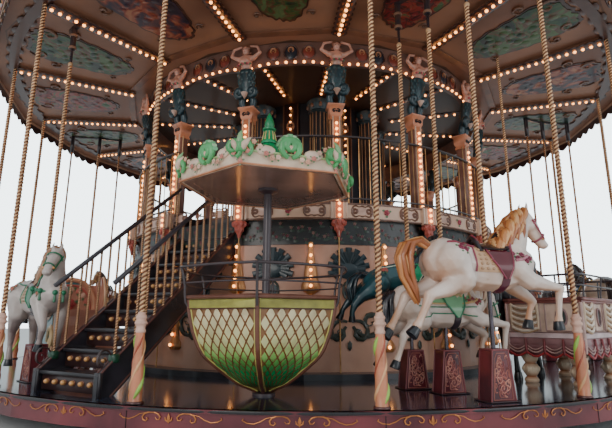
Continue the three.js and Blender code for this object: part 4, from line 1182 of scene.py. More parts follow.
basket = six_sided(HULL + ((0.81, 0.965), (0.75, 0.643), (0.64, 0.42), (0.6, 0.36), (0.054, 0.36),
                           (0.054, 0.045), (0.09, 0.045)), TUB_TURN)
dye(basket, tone(150, 104, 66))
GRADE = ((0.0, tone(0, 104, 58)), (0.3, tone(0, 160, 88)), (0.46, tone(128, 196, 96)),
         (0.62, tone(214, 212, 150)), (1.0, tone(244, 216, 186)))


def blend(first, second, share):
    """Steps from one colour or point to another"""
    return tuple(a + (b - a) * share for a, b in zip(first, second))


def graded(share):
    """Paint that fades from green at the point to cream at the top"""
    for (low, dark), (high, light) in zip(GRADE, GRADE[1:]):
        if share <= high:
            return blend(dark, light, (share - low) / (high - low))
    return GRADE[-1][1]


ROWS = 12
ACROSS = 7
panel = shape()
for row in range(ROWS):
    middle = 0.1 + 0.82 * (row + 0.5) / ROWS
    for column_n in range(ACROSS + row % 2):
        spot = column_n - (ACROSS - 1 + row % 2) / 2
        if abs(spot) > ACROSS / 2 - 0.35:
            continue
        scale = shape()
        bmesh.ops.create_circle(scale, cap_ends=True, cap_tris=True, segments=12, radius=1)
        bmesh.ops.inset_region(scale, faces=scale.faces, thickness=0.17, use_boundary=True,
                               use_even_offset=True)
        outline = scale.loops.layers.float_color["paint"]
        for face in scale.faces:
            for loop in face.loops if len(face.verts) == 4 else ():
                loop[outline] = tone(140, 88, 44)
        for vert in scale.verts:
            reach = vert.co.length
            lift, aside = vert.co.y / max(reach, 0.01), vert.co.x
            across = 0
            if reach > 0.5 and abs(lift) < 0.99:
                across = math.copysign(0.47 * reach * (1 - abs(lift) ** 1.25), aside)
            lift *= reach
            share = min(0.93, max(0.02, middle + lift * 0.78 / ROWS))
            radius, height = hull_at(share)
            side = (spot + across) * 2 * radius * math.sin(HALF) / (ACROSS + 0.35)
            out = radius * math.cos(HALF) + (0.015 if reach < 0.5 else 0.011 if reach < 0.9 else 0.003)
            vert.co = Vector((side, -out, height))
        add(panel, dye(scale, graded(middle - 0.06)))
add(basket, panel, *six_turns(TUB_TURN + HALF))
ribs = shape()
line = [hull_at(n / 16) for n in range(17)]
barred(ribs, tone(116, 70, 54), [(0, -r - 0.004, z, 0.022) for r, z in line], sides=2)
for side in (-1, 1):
    barred(ribs, tone(226, 214, 120), [(side * 0.024, -r + 0.008, z, 0.008) for r, z in line])
strap = six_sided(((0.842, 0.875), (0.862, 0.878), (0.866, 0.96), (0.85, 0.965)), 0)
add(ribs, dye(strap, tone(236, 230, 128)))
add(ribs, dye(six_sided(((0.84, 0.868), (0.868, 0.87), (0.868, 0.88), (0.84, 0.885)), 0),
              tone(120, 74, 56)))
add(basket, ribs, *six_turns(TUB_TURN))
knob = shape()
for n in range(6):
    ball(knob, out_at(n * math.pi / 3, 0.1, 0.075), 0.026, fine=2)
add(basket, dye(knob, tone(190, 130, 84)))

rim = six_sided(((0.8, 0.966), (0.868, 0.966), (0.89, 0.974), (0.896, 0.99), (0.885, 1.004), (0.86, 1.01),
                 (0.8, 1.008), (0.8, 0.966)), TUB_TURN)
dye(rim, tone(124, 82, 70))
hoop = []
for height, out, thick in ((1.29, 0.95, 0.014), (1.13, 0.9, 0.009)):
    points = []
    for n in range(49):
        turn = n * math.pi / 24
        near = (turn + HALF) % (math.pi / 3) - HALF
        flat = math.cos(HALF) / math.cos(abs(near) - HALF)
        reach = out * (0.45 + 0.55 * flat)
        points.append(out_at(turn + TUB_TURN, reach, height, thick))
    hoop.append(points)
for n in range(6):
    turn = TUB_TURN + n * math.pi / 3
    post = [out_at(turn, r, z, 0.013) for r, z in
            ((0.86, 0.9), (0.885, 0.94), (0.895, 1.01), (0.9, 1.1), (0.925, 1.22), (0.95, 1.29))]
    hoop.append(post)
barred(rim, tone(66, 54, 58), *hoop, sides=2)

# Seat ring inside the gondola: six firm pads in dark green leathercloth, crowned and buttoned down at
# their ends. They lie close together in a ring, on brown base boards that slope in to the basket's floor.
def let_down(pad, height):
    """Gives a crowned pad its sides, straight down to one height"""
    skirt = bmesh.ops.extrude_face_region(pad, geom=pad.faces[:])
    for item in skirt["geom"]:
        if isinstance(item, bmesh.types.BMVert):
            item.co.z = height
    bmesh.ops.recalc_face_normals(pad, faces=pad.faces)
    return pad


pad = shape()
bmesh.ops.create_grid(pad, x_segments=16, y_segments=8, size=0.5)
for vert in pad.verts:
    x, y = vert.co.x * 2, vert.co.y * 2
    radius = 0.6 + 0.105 * y
    crown = 0.035 * (1 - abs(x) ** 4) * (1 - abs(y) ** 4)
    vert.co = Vector((x * (radius - 0.03) * math.sin(HALF), -radius * math.cos(HALF),
                      0.575 + crown - 0.02 * abs(x * y) ** 6))
seat = add(shape(), let_down(pad, 0.55), *six_turns(TUB_TURN + HALF))
dye(seat, tone(40, 84, 70))
base = six_sided(((0.47, 0.36), (0.596, 0.36), (0.7, 0.53), (0.7, 0.55), (0.47, 0.55), (0.47, 0.36)),
                 TUB_TURN)
add(seat, dye(base, tone(96, 62, 52)))

# Mast and canopy: a dark steel tube, a broad six-sided tray of satin brown wood, and a green onion dome
# on top. The cream fascia has a fan shell over each side on green scrolls, roses along it and leaves at
# its corners.
CANOPY_TURN = -0.297
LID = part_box("gondola_canopy")[0].z - DECK
mast = turned([(0, 0.0), (0.12, 0.0), (0.12, 0.02), (0.08, 0.032), (0.047, 0.036), (0.045, 0.045),
               (0.045, LID - 0.06), (0.06, LID - 0.05), (0.115, LID - 0.03), (0.115, LID), (0, LID)], 24)
dye(mast, tone(74, 62, 68))
tray = six_sided(((0, LID + 0.001), (0.84, LID + 0.001), (0.845, LID - 0.006), (0.94, LID - 0.006),
                  (0.94, LID + 0.06), (0.2, LID + 0.23), (0, LID + 0.23)), CANOPY_TURN)
dye(tray, tone(150, 114, 102), finish=2)
CRESTED = 0.985 * math.cos(HALF)
crest = shape()
boxed(crest, tone(238, 208, 182), (-0.485, -CRESTED - 0.004, LID - 0.004),
      (0.485, -CRESTED + 0.034, LID + 0.145), 0.012)
for height, colour in ((LID + 0.002, tone(226, 150, 112)), (LID + 0.135, tone(190, 210, 150))):
    barred(crest, colour, [(-0.49, -CRESTED - 0.01, height, 0.012), (0.49, -CRESTED - 0.01, height, 0.012)],
           sides=2)
for side in (-1, 1):
    for start, heading, size, hand in (((side * 0.02, LID + 0.1), 0.1, 0.1, 1),
                                       ((side * 0.42, LID + 0.08), 2.6, 0.08, -1)):
        line = scroll(start, heading if side > 0 else math.pi - heading, size, 6, hand=hand * side,
                      thick=0.26)
        curl = tubes([set_back(line, -CRESTED - 0.03)], sides=2)
        add(crest, dye(curl, tone(92, 178, 110)))
    for n in range(7):
        x = side * (0.06 + 0.062 * n)
        z = LID + 0.15 - 0.075 * math.sin(n * 0.9)
        bloom = rose((tone(214, 130, 116), tone(240, 196, 172), tone(232, 168, 140))[n % 3], 0.028)
        add(crest, bloom, shift(x, -CRESTED - 0.03, z))
    ball(crest, (side * 0.25, -CRESTED - 0.01, LID + 0.155), 0.07, (1.5, 0.35, 0.8), fine=2)
    dye(crest, tone(240, 208, 186))
for n in range(9):
    lean = math.radians(-76 + 19 * n)
    foot, tip = Vector((0, -CRESTED - 0.012, LID + 0.2)), 0.15 - 0.02 * abs(math.sin(lean))
    blade = [(foot.x + tip * k * math.sin(lean), foot.y - 0.03 * k * k + 0.02,
              foot.z + tip * k * math.cos(lean), 0.008 + 0.02 * k ** 0.8) for k in (0, 0.35, 0.7, 1.0)]
    barred(crest, tone(176, 214, 170) if n % 2 else tone(120, 190, 138), blade, sides=2)
ball(crest, (0, -CRESTED - 0.03, LID + 0.2), 0.035, fine=2)
dye(crest, tone(240, 196, 172))
leaf = shape()
for side, high in ((-1, 0.16), (0, 0.24), (1, 0.16)):
    blade = [(side * 0.05 * k * 2, -0.97 - 0.05 * math.sin(math.pi * k), LID + 0.1 + high * k,
              0.035 * math.sin(math.pi * (0.15 + 0.8 * k))) for k in (0, 0.25, 0.5, 0.75, 1.0)]
    barred(leaf, tone(236, 204, 180) if side else tone(150, 196, 140), blade, sides=2)
line = scroll((0, LID + 0.06), 0.3, 0.09, 6, hand=1, thick=0.24)
barred(leaf, tone(84, 176, 104), [(x - 0.04, -0.995, z, w) for x, _, z, w in line], sides=2)
for x, z in ((-0.07, 0.11), (0.07, 0.12), (0, 0.02)):
    add(leaf, rose(tone(222, 140, 124), 0.028), shift(x, -0.985, LID + z))
crest = add(shape(), crest, *six_turns(CANOPY_TURN + HALF))
add(crest, leaf, *six_turns(CANOPY_TURN))
dome = turned([(0.125, 0.2), (0.13, 0.24), (0.1, 0.26), (0.115, 0.29), (0.15, 0.35), (0.155, 0.41),
               (0.13, 0.48), (0.09, 0.53), (0.075, 0.56)], 24)
dye(dome, tone(0, 150, 88))
neck = turned([(0.095, 0.55), (0.098, 0.575), (0.085, 0.59), (0.062, 0.67), (0.06, 0.71), (0.08, 0.725),
               (0.08, 0.745), (0.055, 0.76)], 16)
dye(neck, tone(10, 146, 92))
for n in range(10):
    turn = n * math.pi / 5
    barred(neck, tone(214, 190, 120), [out_at(turn, 0.086, 0.59, 0.008),
                          out_at(turn, 0.064, 0.7, 0.006)])
tip = turned([(0.05, 0.75), (0.06, 0.79), (0.052, 0.84), (0.03, 0.9), (0.012, 0.94), (0, 0.95)], 16)
add(add(dome, neck), dye(tip, tone(0, 132, 80)))
for n in range(8):
    turn = n * math.pi / 4
    barred(dome, tone(40, 134, 84), [out_at(turn, r, z, 0.009) for r, z in
                          ((0.108, 0.27), (0.15, 0.35), (0.157, 0.41), (0.13, 0.48), (0.09, 0.53))])
dome.transform(shift(0, 0, LID))
satin = painted("satin wood", rough=0.16, patch=2.5, grain=12, relief=0.05, gloss=0.5, dirt=0.2)
leathercloth = painted("leathercloth", rough=0.42, patch=6, grain=240, relief=0.3, gloss=0.1)
crest = thinned(crest, 0.6)
far = shape()
for name, body, part, slot_name in (("basket", "gondola", basket, "gondola_paint"),
                                    ("handrail", "gondola", rim, "dark_metal"),
                                    ("seat", "gondola", seat, "seat_cover"),
                                    ("mast", "carousel", mast, "dark_metal"),
                                    ("canopy", "carousel", tray, "canopy_wood"),
                                    ("crest", "carousel", crest, "canopy_wood"),
                                    ("dome", "carousel", dome, "dome_paint")):
    part.transform(Matrix.Translation(TUB))
    add(far, part, about(math.pi))
    finishes = (leathercloth,) if name == "seat" else (show_paint, lit, satin)
    piece = stand(f"show_{name}", part, *finishes, body=body, slot=slot_name, nodes=(f"gondola_{name}",),
                  smooth=30 if name == "basket" else 50)
stand("far_gondola", thinned(far, 0.35), show_paint, lit, satin, slot="gondola_paint",
      nodes=("gondola_far",), smooth=40)

# Horses of the roundabout, carved in wood, filled, painted and varnished, each on a brass pole through
# its back. The skin is melted from round bars laid along the barrel, neck, head and legs, and painted
# shade is brushed on under the belly, on the sides turned back and down the legs.
PLACES = {"outer": (5.69, 0.125, 0.5, 1.0, 0.0), "middle": (5.104, -0.031, 0.5, 0.9, 0.4),
          "inner": (4.695, -0.234, 0.5, 0.76, 0.0), "grey": (5.362, 0.0, -2.09, 0.95, 0.28),
          "black": (4.4, 0.0, 1.72, 1.0, 0.0)}
GUIDE_FOOT, GUIDE_HEAD = 5.055, 5.25
SADDLE_TOP = 1.47
BARREL = 0.235
BLOND = tone(206, 132, 78)
HORN = tone(30, 32, 40)


def in_row(row, height=1.285, turned_bays=0):
    """Takes a horse carved round its own pole to its place on the platform"""
    reach, off, bay, size, sink = PLACES[row]
    turn = (bay + turned_bays) * BAY + math.atan2(off, reach)
    return (about(turn) @ shift(0, -math.hypot(reach, off), DECK + height * (1 - size) - sink)
            @ Matrix.Scale(size, 4))


def at_pole(row, turned_bays=0):
    """Takes what stands round a pole at full size to its place on the platform"""
    reach, off, bay, _, _ = PLACES[row]
    turn = (bay + turned_bays) * BAY + math.atan2(off, reach)
    return about(turn) @ shift(0, -math.hypot(reach, off), DECK)


GALLOP = {
    "barrel": ((-0.52, 0, 1.36, 0.235), (-0.38, 0, 1.34, 0.225), (-0.15, 0, 1.29, 0.23),
               (0.1, 0, 1.28, 0.235), (0.28, 0, 1.33, 0.23),
               (0.38, 0, 1.36, 0.18)),
    "neck": ((0.26, 0, 1.44, 0.19), (0.36, 0, 1.6, 0.145), (0.44, 0, 1.76, 0.11), (0.5, 0, 1.87, 0.085)),
    "head": ((0.53, 0, 1.87, 0.082), (0.62, 0, 1.77, 0.078), (0.7, 0, 1.66, 0.058),
             (0.765, 0, 1.575, 0.046)),
    "jaw": ((0.55, 0, 1.77, 0.085), (0.62, 0, 1.7, 0.06), (0.73, 0, 1.57, 0.034)),
    "legs": (
        ((0.26, -0.12, 1.28, 0.13), (0.4, -0.14, 1.17, 0.1), (0.62, -0.14, 1.13, 0.062),
         (0.78, -0.14, 1.1, 0.052),
         (0.755, -0.14, 0.96, 0.034), (0.735, -0.14, 0.82, 0.032), (0.725, -0.14, 0.77, 0.045)),
        ((0.28, 0.12, 1.26, 0.12), (0.42, 0.13, 1.12, 0.09), (0.62, 0.13, 1.0, 0.058),
         (0.66, 0.13, 0.97, 0.05),
         (0.61, 0.13, 0.86, 0.032), (0.59, 0.13, 0.78, 0.042)),
        ((-0.5, -0.1, 1.34, 0.2), (-0.42, -0.12, 1.17, 0.155), (-0.58, -0.12, 1.07, 0.09),
         (-0.78, -0.12, 1.0, 0.058),
         (-0.84, -0.12, 0.87, 0.038), (-0.9, -0.12, 0.76, 0.038), (-0.93, -0.12, 0.72, 0.048)),
        ((-0.52, 0.1, 1.34, 0.2), (-0.48, 0.12, 1.17, 0.15), (-0.7, 0.12, 1.07, 0.09),
         (-0.9, 0.12, 1.0, 0.056),
         (-0.98, 0.12, 0.86, 0.038), (-1.05, 0.12, 0.74, 0.038), (-1.08, 0.12, 0.7, 0.046)),
    ),
    "feet": ((0.72, -0.14, 0.72, 0.1), (0.58, 0.13, 0.73, -0.2), (-0.965, -0.12, 0.665, -0.75),
             (-1.115, 0.12, 0.645, -0.75)),
    "tail": ((-0.68, 1.49), (-0.8, 1.55), (-0.92, 1.51), (-0.975, 1.38), (-0.95, 1.2), (-0.88, 1.05),
             (-0.83, 0.94)),
    "crest": ((0.53, 1.95), (0.44, 1.9), (0.33, 1.79), (0.21, 1.66), (0.1, 1.54)),
    "axis": 1.3,
}
BOWED = {
    **GALLOP,
    "neck": ((0.28, 0, 1.42, 0.18), (0.42, 0, 1.46, 0.15), (0.55, 0, 1.46, 0.115), (0.64, 0, 1.44, 0.095)),
    "head": ((0.64, 0, 1.42, 0.088), (0.7, 0, 1.32, 0.078), (0.735, 0, 1.22, 0.058),
             (0.75, 0, 1.13, 0.046)),
    "jaw": ((0.62, 0, 1.36, 0.08), (0.66, 0, 1.28, 0.06), (0.71, 0, 1.15, 0.036)),
    "crest": ((0.66, 1.53), (0.56, 1.58), (0.44, 1.6), (0.32, 1.6), (0.2, 1.56)),
    "legs": GALLOP["legs"][:2] + (
        ((-0.5, -0.1, 1.34, 0.2), (-0.42, -0.12, 1.17, 0.15), (-0.52, -0.12, 1.06, 0.09),
         (-0.64, -0.12, 0.98, 0.056),
         (-0.68, -0.12, 0.85, 0.037), (-0.72, -0.12, 0.75, 0.037), (-0.74, -0.12, 0.71, 0.046)),
        ((-0.52, 0.1, 1.34, 0.2), (-0.48, 0.12, 1.17, 0.15), (-0.6, 0.12, 1.07, 0.09),
         (-0.74, 0.12, 0.99, 0.056),
         (-0.78, 0.12, 0.86, 0.037), (-0.82, 0.12, 0.75, 0.037), (-0.84, 0.12, 0.71, 0.046)),
    ),
    "feet": GALLOP["feet"][:2] + ((-0.76, -0.12, 0.655, -0.4), (-0.86, 0.12, 0.655, -0.4)),
    "tail": ((-0.66, 1.47), (-0.74, 1.47), (-0.79, 1.38), (-0.8, 1.22), (-0.785, 1.08), (-0.775, 0.95)),
}
REARING = {
    **GALLOP,
    "barrel": ((-0.6, 0, 1.16, 0.2), (-0.45, 0, 1.22, 0.215), (-0.2, 0, 1.27, 0.225), (0.1, 0, 1.3, 0.235),
               (0.28, 0, 1.36, 0.23),
               (0.38, 0, 1.4, 0.18)),
    "legs": GALLOP["legs"][:2] + (
        ((-0.55, -0.08, 1.16, 0.18), (-0.7, -0.1, 1.04, 0.14), (-0.86, -0.1, 0.94, 0.095),
         (-0.96, -0.1, 0.82, 0.06),
         (-1.0, -0.1, 0.72, 0.042), (-1.0, -0.1, 0.66, 0.046)),
        ((-0.55, 0.08, 1.16, 0.18), (-0.72, 0.1, 1.05, 0.14), (-0.9, 0.1, 0.96, 0.09),
         (-1.0, 0.1, 0.86, 0.058),
         (-1.08, 0.1, 0.76, 0.04), (-1.1, 0.1, 0.7, 0.046)),
    ),
    "feet": GALLOP["feet"][:2] + ((-1.0, -0.1, 0.615, 0.0), (-1.125, 0.1, 0.65, -0.5)),
    "tail": ((-0.72, 1.27), (-0.84, 1.3), (-0.94, 1.22), (-0.98, 1.08), (-0.96, 0.94), (-0.94, 0.82)),
}
STANDING = {
    **GALLOP,
    "neck": ((0.26, 0, 1.46, 0.19), (0.33, 0, 1.62, 0.14), (0.37, -0.01, 1.77, 0.112),
             (0.39, -0.02, 1.88, 0.09)),
    "head": ((0.4, -0.03, 1.885, 0.088), (0.48, -0.1, 1.8, 0.078), (0.54, -0.165, 1.7, 0.06),
             (0.575, -0.2, 1.62, 0.05)),
    "jaw": ((0.4, -0.03, 1.8, 0.085), (0.46, -0.09, 1.72, 0.06), (0.54, -0.17, 1.6, 0.036)),
    "crest": ((0.36, 1.98), (0.3, 1.9), (0.24, 1.8), (0.18, 1.68), (0.1, 1.54)),
    "legs": (
        ((0.26, -0.12, 1.28, 0.13), (0.36, -0.13, 1.1, 0.085), (0.46, -0.13, 0.95, 0.055),
         (0.47, -0.13, 0.9, 0.05),
         (0.43, -0.13, 0.78, 0.034), (0.41, -0.13, 0.72, 0.044)),
        ((0.26, 0.12, 1.28, 0.13), (0.32, 0.13, 1.08, 0.08), (0.31, 0.13, 0.82, 0.05),
         (0.29, 0.13, 0.62, 0.034),
         (0.28, 0.13, 0.49, 0.046)),
        ((-0.5, -0.1, 1.34, 0.2), (-0.48, -0.12, 1.1, 0.13), (-0.6, -0.13, 0.86, 0.06),
         (-0.61, -0.13, 0.66, 0.036),
         (-0.59, -0.13, 0.49, 0.048)),
        ((-0.52, 0.1, 1.34, 0.2), (-0.44, 0.12, 1.1, 0.13), (-0.54, 0.13, 0.86, 0.06),
         (-0.55, 0.13, 0.66, 0.036),
         (-0.53, 0.13, 0.49, 0.048)),
    ),
    "feet": ((0.4, -0.13, 0.68, -0.2), (0.285, 0.13, 0.44, 0.0), (-0.59, -0.13, 0.44, 0.0),
             (-0.53, 0.13, 0.44, 0.0)),
}
WALKING = {
    "barrel": tuple((x, y, z - 0.2, r * 0.92) for x, y, z, r in GALLOP["barrel"]),
    "neck": ((0.26, 0, 1.22, 0.17), (0.33, 0, 1.36, 0.13), (0.4, 0, 1.49, 0.1), (0.45, 0, 1.6, 0.08)),
    "head": ((0.47, 0, 1.61, 0.078), (0.56, 0, 1.51, 0.072), (0.64, 0, 1.41, 0.054), (0.7, 0, 1.33, 0.044)),
    "jaw": ((0.49, 0, 1.52, 0.078), (0.56, 0, 1.44, 0.056), (0.66, 0, 1.33, 0.034)),
    "crest": ((0.48, 1.7), (0.38, 1.65), (0.28, 1.55), (0.18, 1.43), (0.1, 1.32)),
    "legs": tuple(((x0, y, 1.08, 0.13), ((x0 + x1) / 2, y, 0.85, 0.09), (x1, y, 0.55, 0.052),
                   (x1 - 0.02, y, 0.3, 0.034), (x1, y, 0.1, 0.046))
                  for x0, x1, y in ((0.24, 0.27, -0.1), (0.26, 0.38, 0.1), (-0.48, -0.52, -0.1),
                                    (-0.44, -0.42, 0.1))),
    "feet": ((0.29, -0.1, 0.045, 0.0), (0.4, 0.1, 0.045, 0.0), (-0.51, -0.1, 0.045, 0.0),
             (-0.41, 0.1, 0.045, 0.0)),
    "tail": ((-0.64, 1.27), (-0.74, 1.3), (-0.82, 1.2), (-0.85, 1.02), (-0.83, 0.86), (-0.82, 0.74)),
    "axis": 1.1,
}


def carve(pose, half, cell, coat_colour, shade):
    """Skin of a horse in its coat colour, with painted shade in a second colour under the belly, at the
    back and down the legs
    """
    blank = shape()
    for part in ("barrel", "neck", "head", "jaw"):
        limb(blank, *pose[part])
    bmesh.ops.scale(blank, vec=(1, half / BARREL, 1), verts=[v for v in blank.verts if v.co.x < 0.3])
    for leg in pose["legs"]:
        limb(blank, *leg)
    (x0, y0, z0, _), (x1, y1, _, _) = pose["head"][:2]
    aside = Vector((-(y1 - y0), x1 - x0, 0)).normalized() if x1 > x0 else Vector((0, 1, 0))
    for side in (-1, 1):
        ear = Vector((x0 - 0.01, y0, z0 + 0.05)) + aside * 0.05 * side
        limb(blank, (*ear, 0.026), (ear.x + 0.01, ear.y + 0.008 * side, ear.z + 0.07, 0.018),
             (ear.x + 0.02, ear.y, ear.z + 0.115, 0.008))
        cheek = Vector(pose["jaw"][0][:3]) + aside * 0.035 * side
        ball(blank, cheek, 0.07, fine=2)
        brow = Vector(pose["head"][1][:3]) + aside * 0.052 * side + Vector((-0.03, 0, 0.05))
        ball(blank, brow, 0.03, fine=2)
        nose = Vector(pose["head"][3][:3]) + aside * 0.025 * side
        ball(blank, nose, 0.036, fine=2)
    skin = thinned(fuse(blank, cell, 4), 0.3)
    layer = skin.loops.layers.float_color["paint"]
    for vert in skin.verts:
        # Painted shade: the second colour is blended in under the belly, on faces turned back and low on
        # the legs.
        under = max(0.0, -vert.normal.z) * 0.75
        behind = max(0.0, -vert.normal.x) * 0.4
        low = max(0.0, min(1.0, (pose["axis"] - 0.2 - vert.co.z) / 0.3)) * 0.6
        cloudy = 0.35 * noise.noise(vert.co * 5.0)
        mixed = max(0.0, min(1.0, under + behind + low + cloudy))
        colour = blend(coat_colour, shade, mixed)
        for loop in vert.link_loops:
            loop[layer] = colour
    return skin, aside


def laid_on(tree, axis, x, turn, reach=0.24):
    """The spot of a skin that lies at an angle round the barrel, and the way out from the barrel there"""
    start, aim = Vector((x, 0, axis)), Vector((0, math.sin(turn), math.cos(turn)))
    return tree.ray_cast(start + aim, -aim)[0] or start + aim * reach, aim


def draped(tree, axis, edges, angles, colour, out, across=18, along=10):
    """Cloth or leather laid on a skin: edges gives its front and back at each angle round the barrel"""
    sheet = shape()
    bmesh.ops.create_grid(sheet, x_segments=along, y_segments=across, size=0.5)
    for vert in sheet.verts:
        share, turn = vert.co.x + 0.5, angles[0] + (angles[1] - angles[0]) * (vert.co.y + 0.5)
        back, front = edges(turn)
        spot, aim = laid_on(tree, axis, back + (front - back) * share, turn)
        vert.co = spot + aim * out
    under = bmesh.ops.extrude_face_region(sheet, geom=sheet.faces[:])
    for item in under["geom"]:
        if isinstance(item, bmesh.types.BMVert):
            item.co += (Vector((item.co.x, 0, axis)) - item.co).normalized() * 0.016
    bmesh.ops.recalc_face_normals(sheet, faces=sheet.faces)
    return dye(sheet, colour)


def strap(whole, tree, axis, points, width, colour, out=0.008):
    """Adds a narrow band along (x, angle) points on a barrel"""
    line = []
    for (x0, t0), (x1, t1) in zip(points, points[1:]):
        for n in range(6):
            spot, aim = laid_on(tree, axis, x0 + (x1 - x0) * n / 6, t0 + (t1 - t0) * n / 6)
            line.append((*(spot + aim * out), width))
    barred(whole, colour, line)


LOCKS = 19


def hair(pose, colours, tail_colours):
    """Mane and tail as carved locks in waves over one mass, their colours light and dark in turn"""
    whole = shape()
    crest = pose["crest"]
    for deep, size in ((0.07, 0.068), (0.15, 0.085)):
        limb(whole, *((x - 0.015 - deep * 0.2, 0, z - deep, size) for x, z in crest[:-1]))
    dye(whole, colours[0])
    for n in range(LOCKS):
        share = n / (LOCKS - 1) * (len(crest) - 1)
        k = min(int(share), len(crest) - 2)
        x, z = blend(crest[k], crest[k + 1], share - k)
        for side in (-1, 1):
            drop = 0.3 + 0.06 * math.sin(n * 2.1 + side)
            lock = []
            for step in range(7):
                down = step / 6
                wave = 0.02 * math.sin(down * 6.5 + n * 1.7)
                lock.append((x - 0.02 - 0.12 * down + wave,
                             side * (0.012 + 0.11 * math.sin(min(1, down * 1.5) * 1.5)),
                             z + 0.02 - drop * down ** 1.3,
                             0.03 * math.sin(math.pi * (0.22 + 0.72 * down)) + 0.004))
            barred(whole, colours[(n + (side > 0)) % len(colours)], lock)
    tail = pose["tail"]
    for n in range(13):
        turn = n * 2.4
        spread = 0.045 * math.sqrt(n / 13)
        strand = []
        for step, (x, z) in enumerate(tail):
            fan = 0.5 + math.sin(math.pi * step / (len(tail) - 1)) * (1.2 if n else 0)
            wave = 0.012 * math.sin(step * 1.3 + n)
            strand.append((x + spread * fan * math.cos(turn) + wave, spread * fan * math.sin(turn),
                           z + 0.5 * spread * math.sin(turn * 1.7),
                           0.03 * math.sin(math.pi * (0.18 + 0.76 * step / (len(tail) - 1))) + 0.004))
        smooth_strand = []
        for (a, b) in zip(strand, strand[1:]):
            smooth_strand += [a, tuple((p + q) / 2 for p, q in zip(a, b))]
        barred(whole, tail_colours[n % len(tail_colours)], smooth_strand + [strand[-1]])
    return whole


def hooves(pose, colour):
    """Hooves with their shoes, each turned with its leg"""
    whole = shape()
    for x, y, z, lean in pose["feet"]:
        foot = turned([(0, -0.045), (0.058, -0.045), (0.06, -0.032), (0.052, 0.01), (0.045, 0.045),
                       (0, 0.055)], 14)
        foot.transform(shift(x, y, z) @ Matrix.Rotation(-lean, 4, "Y"))
        add(whole, foot)
    return dye(whole, colour)


def bridle(pose, aside, colour):
    """Straps round the nose and cheeks with a rosette at each end of the bit, the eyes with a painted
    glint, and the nostrils
    """
    whole = shape()
    head = [Vector(p[:3]) for p in pose["head"]]
    sizes = [p[3] for p in pose["head"]]
    along = (head[-1] - head[0]).normalized()
    up = along.cross(aside).normalized()
    for at, grow, deep in ((0.68, 1.12, 1.3), (0.22, 1.14, 1.5)):
        k = min(int(at * 3), 2)
        centre = head[k].lerp(head[k + 1], at * 3 - k)
        size = (sizes[k] + (sizes[k + 1] - sizes[k]) * (at * 3 - k)) * grow
        loop = []
        for n in range(17):
            turn = n * math.pi / 8
            below = math.sin(turn) * (1 if up.z < 0 else -1) > 0
            fall = deep if below else 1.02
            spot = centre + aside * size * 1.02 * math.cos(turn) + up * size * fall * math.sin(turn)
            loop.append((*spot, 0.0095))
        barred(whole, colour, loop)
    for side in (-1, 1):
        line = []
        for share in (0.12, 0.4, 0.68, 0.8):
            out = 0.03 + 1.02 * (sizes[0] + (sizes[3] - sizes[0]) * share)
            line.append((*(head[0].lerp(head[3], share) + aside * side * out * 0.86), 0.0095))
        barred(whole, colour, line)
        knot = head[2].lerp(head[3], 0.2) + aside * side * sizes[2]
        ball(whole, knot, 0.02, fine=2)
        dye(whole, OLD_GOLD)
        eye_at = head[1] + aside * side * (sizes[1] * 0.86) + Vector((-0.025, 0, 0.035))
        ball(whole, eye_at, 0.019, (1, 0.8, 1), fine=2)
        dye(whole, tone(28, 20, 22))
        # A small white ball on each eye is a painted highlight.
        ball(whole, eye_at + aside * side * 0.009 + Vector((0.008, 0, 0.01)), 0.0045)
        dye(whole, tone(250, 250, 250))
        nostril = head[3] + aside * side * sizes[3] * 0.95 + along * 0.012
        ball(whole, nostril, 0.011, (1, 0.7, 0.7), fine=1)
        dye(whole, tone(92, 48, 44))
    return whole


FLAP = 2.15


def saddle(tree, axis, skirt, seat, trim, girth, blanket=None):
    """Saddle with drop flaps, raised cantle and pommel, its girth and the cloth behind it"""
    whole = shape()
    if blanket:
        add(whole, draped(tree, axis, lambda t: (-0.27, 0.06), (-1.9, 1.9), blanket, out=0.008))
        for x in (-0.27, 0.06):
            strap(whole, tree, axis, [(x, -1.9), (x, 0.0), (x, 1.9)], 0.009, trim)
        for side in (-1, 1):
            for row in range(3):
                for n in range(5):
                    turn = side * (0.75 + 0.24 * n)
                    spot, aim = laid_on(tree, axis, -0.21 + 0.065 * row, turn)
                    ball(whole, spot + aim * 0.009, 0.02, (1, 0.6, 0.8))
            dye(whole, tuple(0.8 * c for c in blanket[:3]) + (1.0,))
    add(whole, draped(tree, axis, lambda t: (0.045, 0.135), (-3.1, 3.1), girth, out=0.01, along=4,
                      across=30))

    def flap(turn):
        """Back and front edge of the flaps at an angle round the barrel"""
        return -0.13 + 0.2 * (abs(turn) / FLAP) ** 2.4, 0.2 - 0.02 * turn * turn

    add(whole, draped(tree, axis, flap, (-FLAP, FLAP), skirt, out=0.022, across=26))
    for edge in (0, 1):
        line = [(flap(FLAP * (n / 5 - 1))[edge], FLAP * (n / 5 - 1)) for n in range(11)]
        strap(whole, tree, axis, line, 0.01, trim, out=0.02)
    add(whole, draped(tree, axis, lambda t: (-0.17, 0.15), (-0.75, 0.75), seat, out=0.045, across=10))
    for x, high in ((-0.17, 0.085), (0.15, 0.07)):
        line = []
        for n in range(9):
            turn = (n - 4) * 0.2
            spot, _ = laid_on(tree, axis, x, turn)
            line.append((*(spot + Vector((0, 0, high * math.cos(turn * 1.7) ** 2))), 0.026))
        barred(whole, seat, line, sides=2)
        barred(whole, trim, [(px, py, pz + 0.024, 0.011) for px, py, pz, _ in line])
    return whole


def roses_on(tree, axis, spots, petal, size):
    """Carved roses set on the skin at (x, angle) spots"""
    whole = shape()
    for x, turn in spots:
        spot, aim = laid_on(tree, axis, x, turn, reach=0.2)
        face_out = Vector((0, -1, 0)).rotation_difference(aim).to_matrix().to_4x4()
        add(whole, rose(petal, size), Matrix.Translation(spot) @ face_out)
    return whole


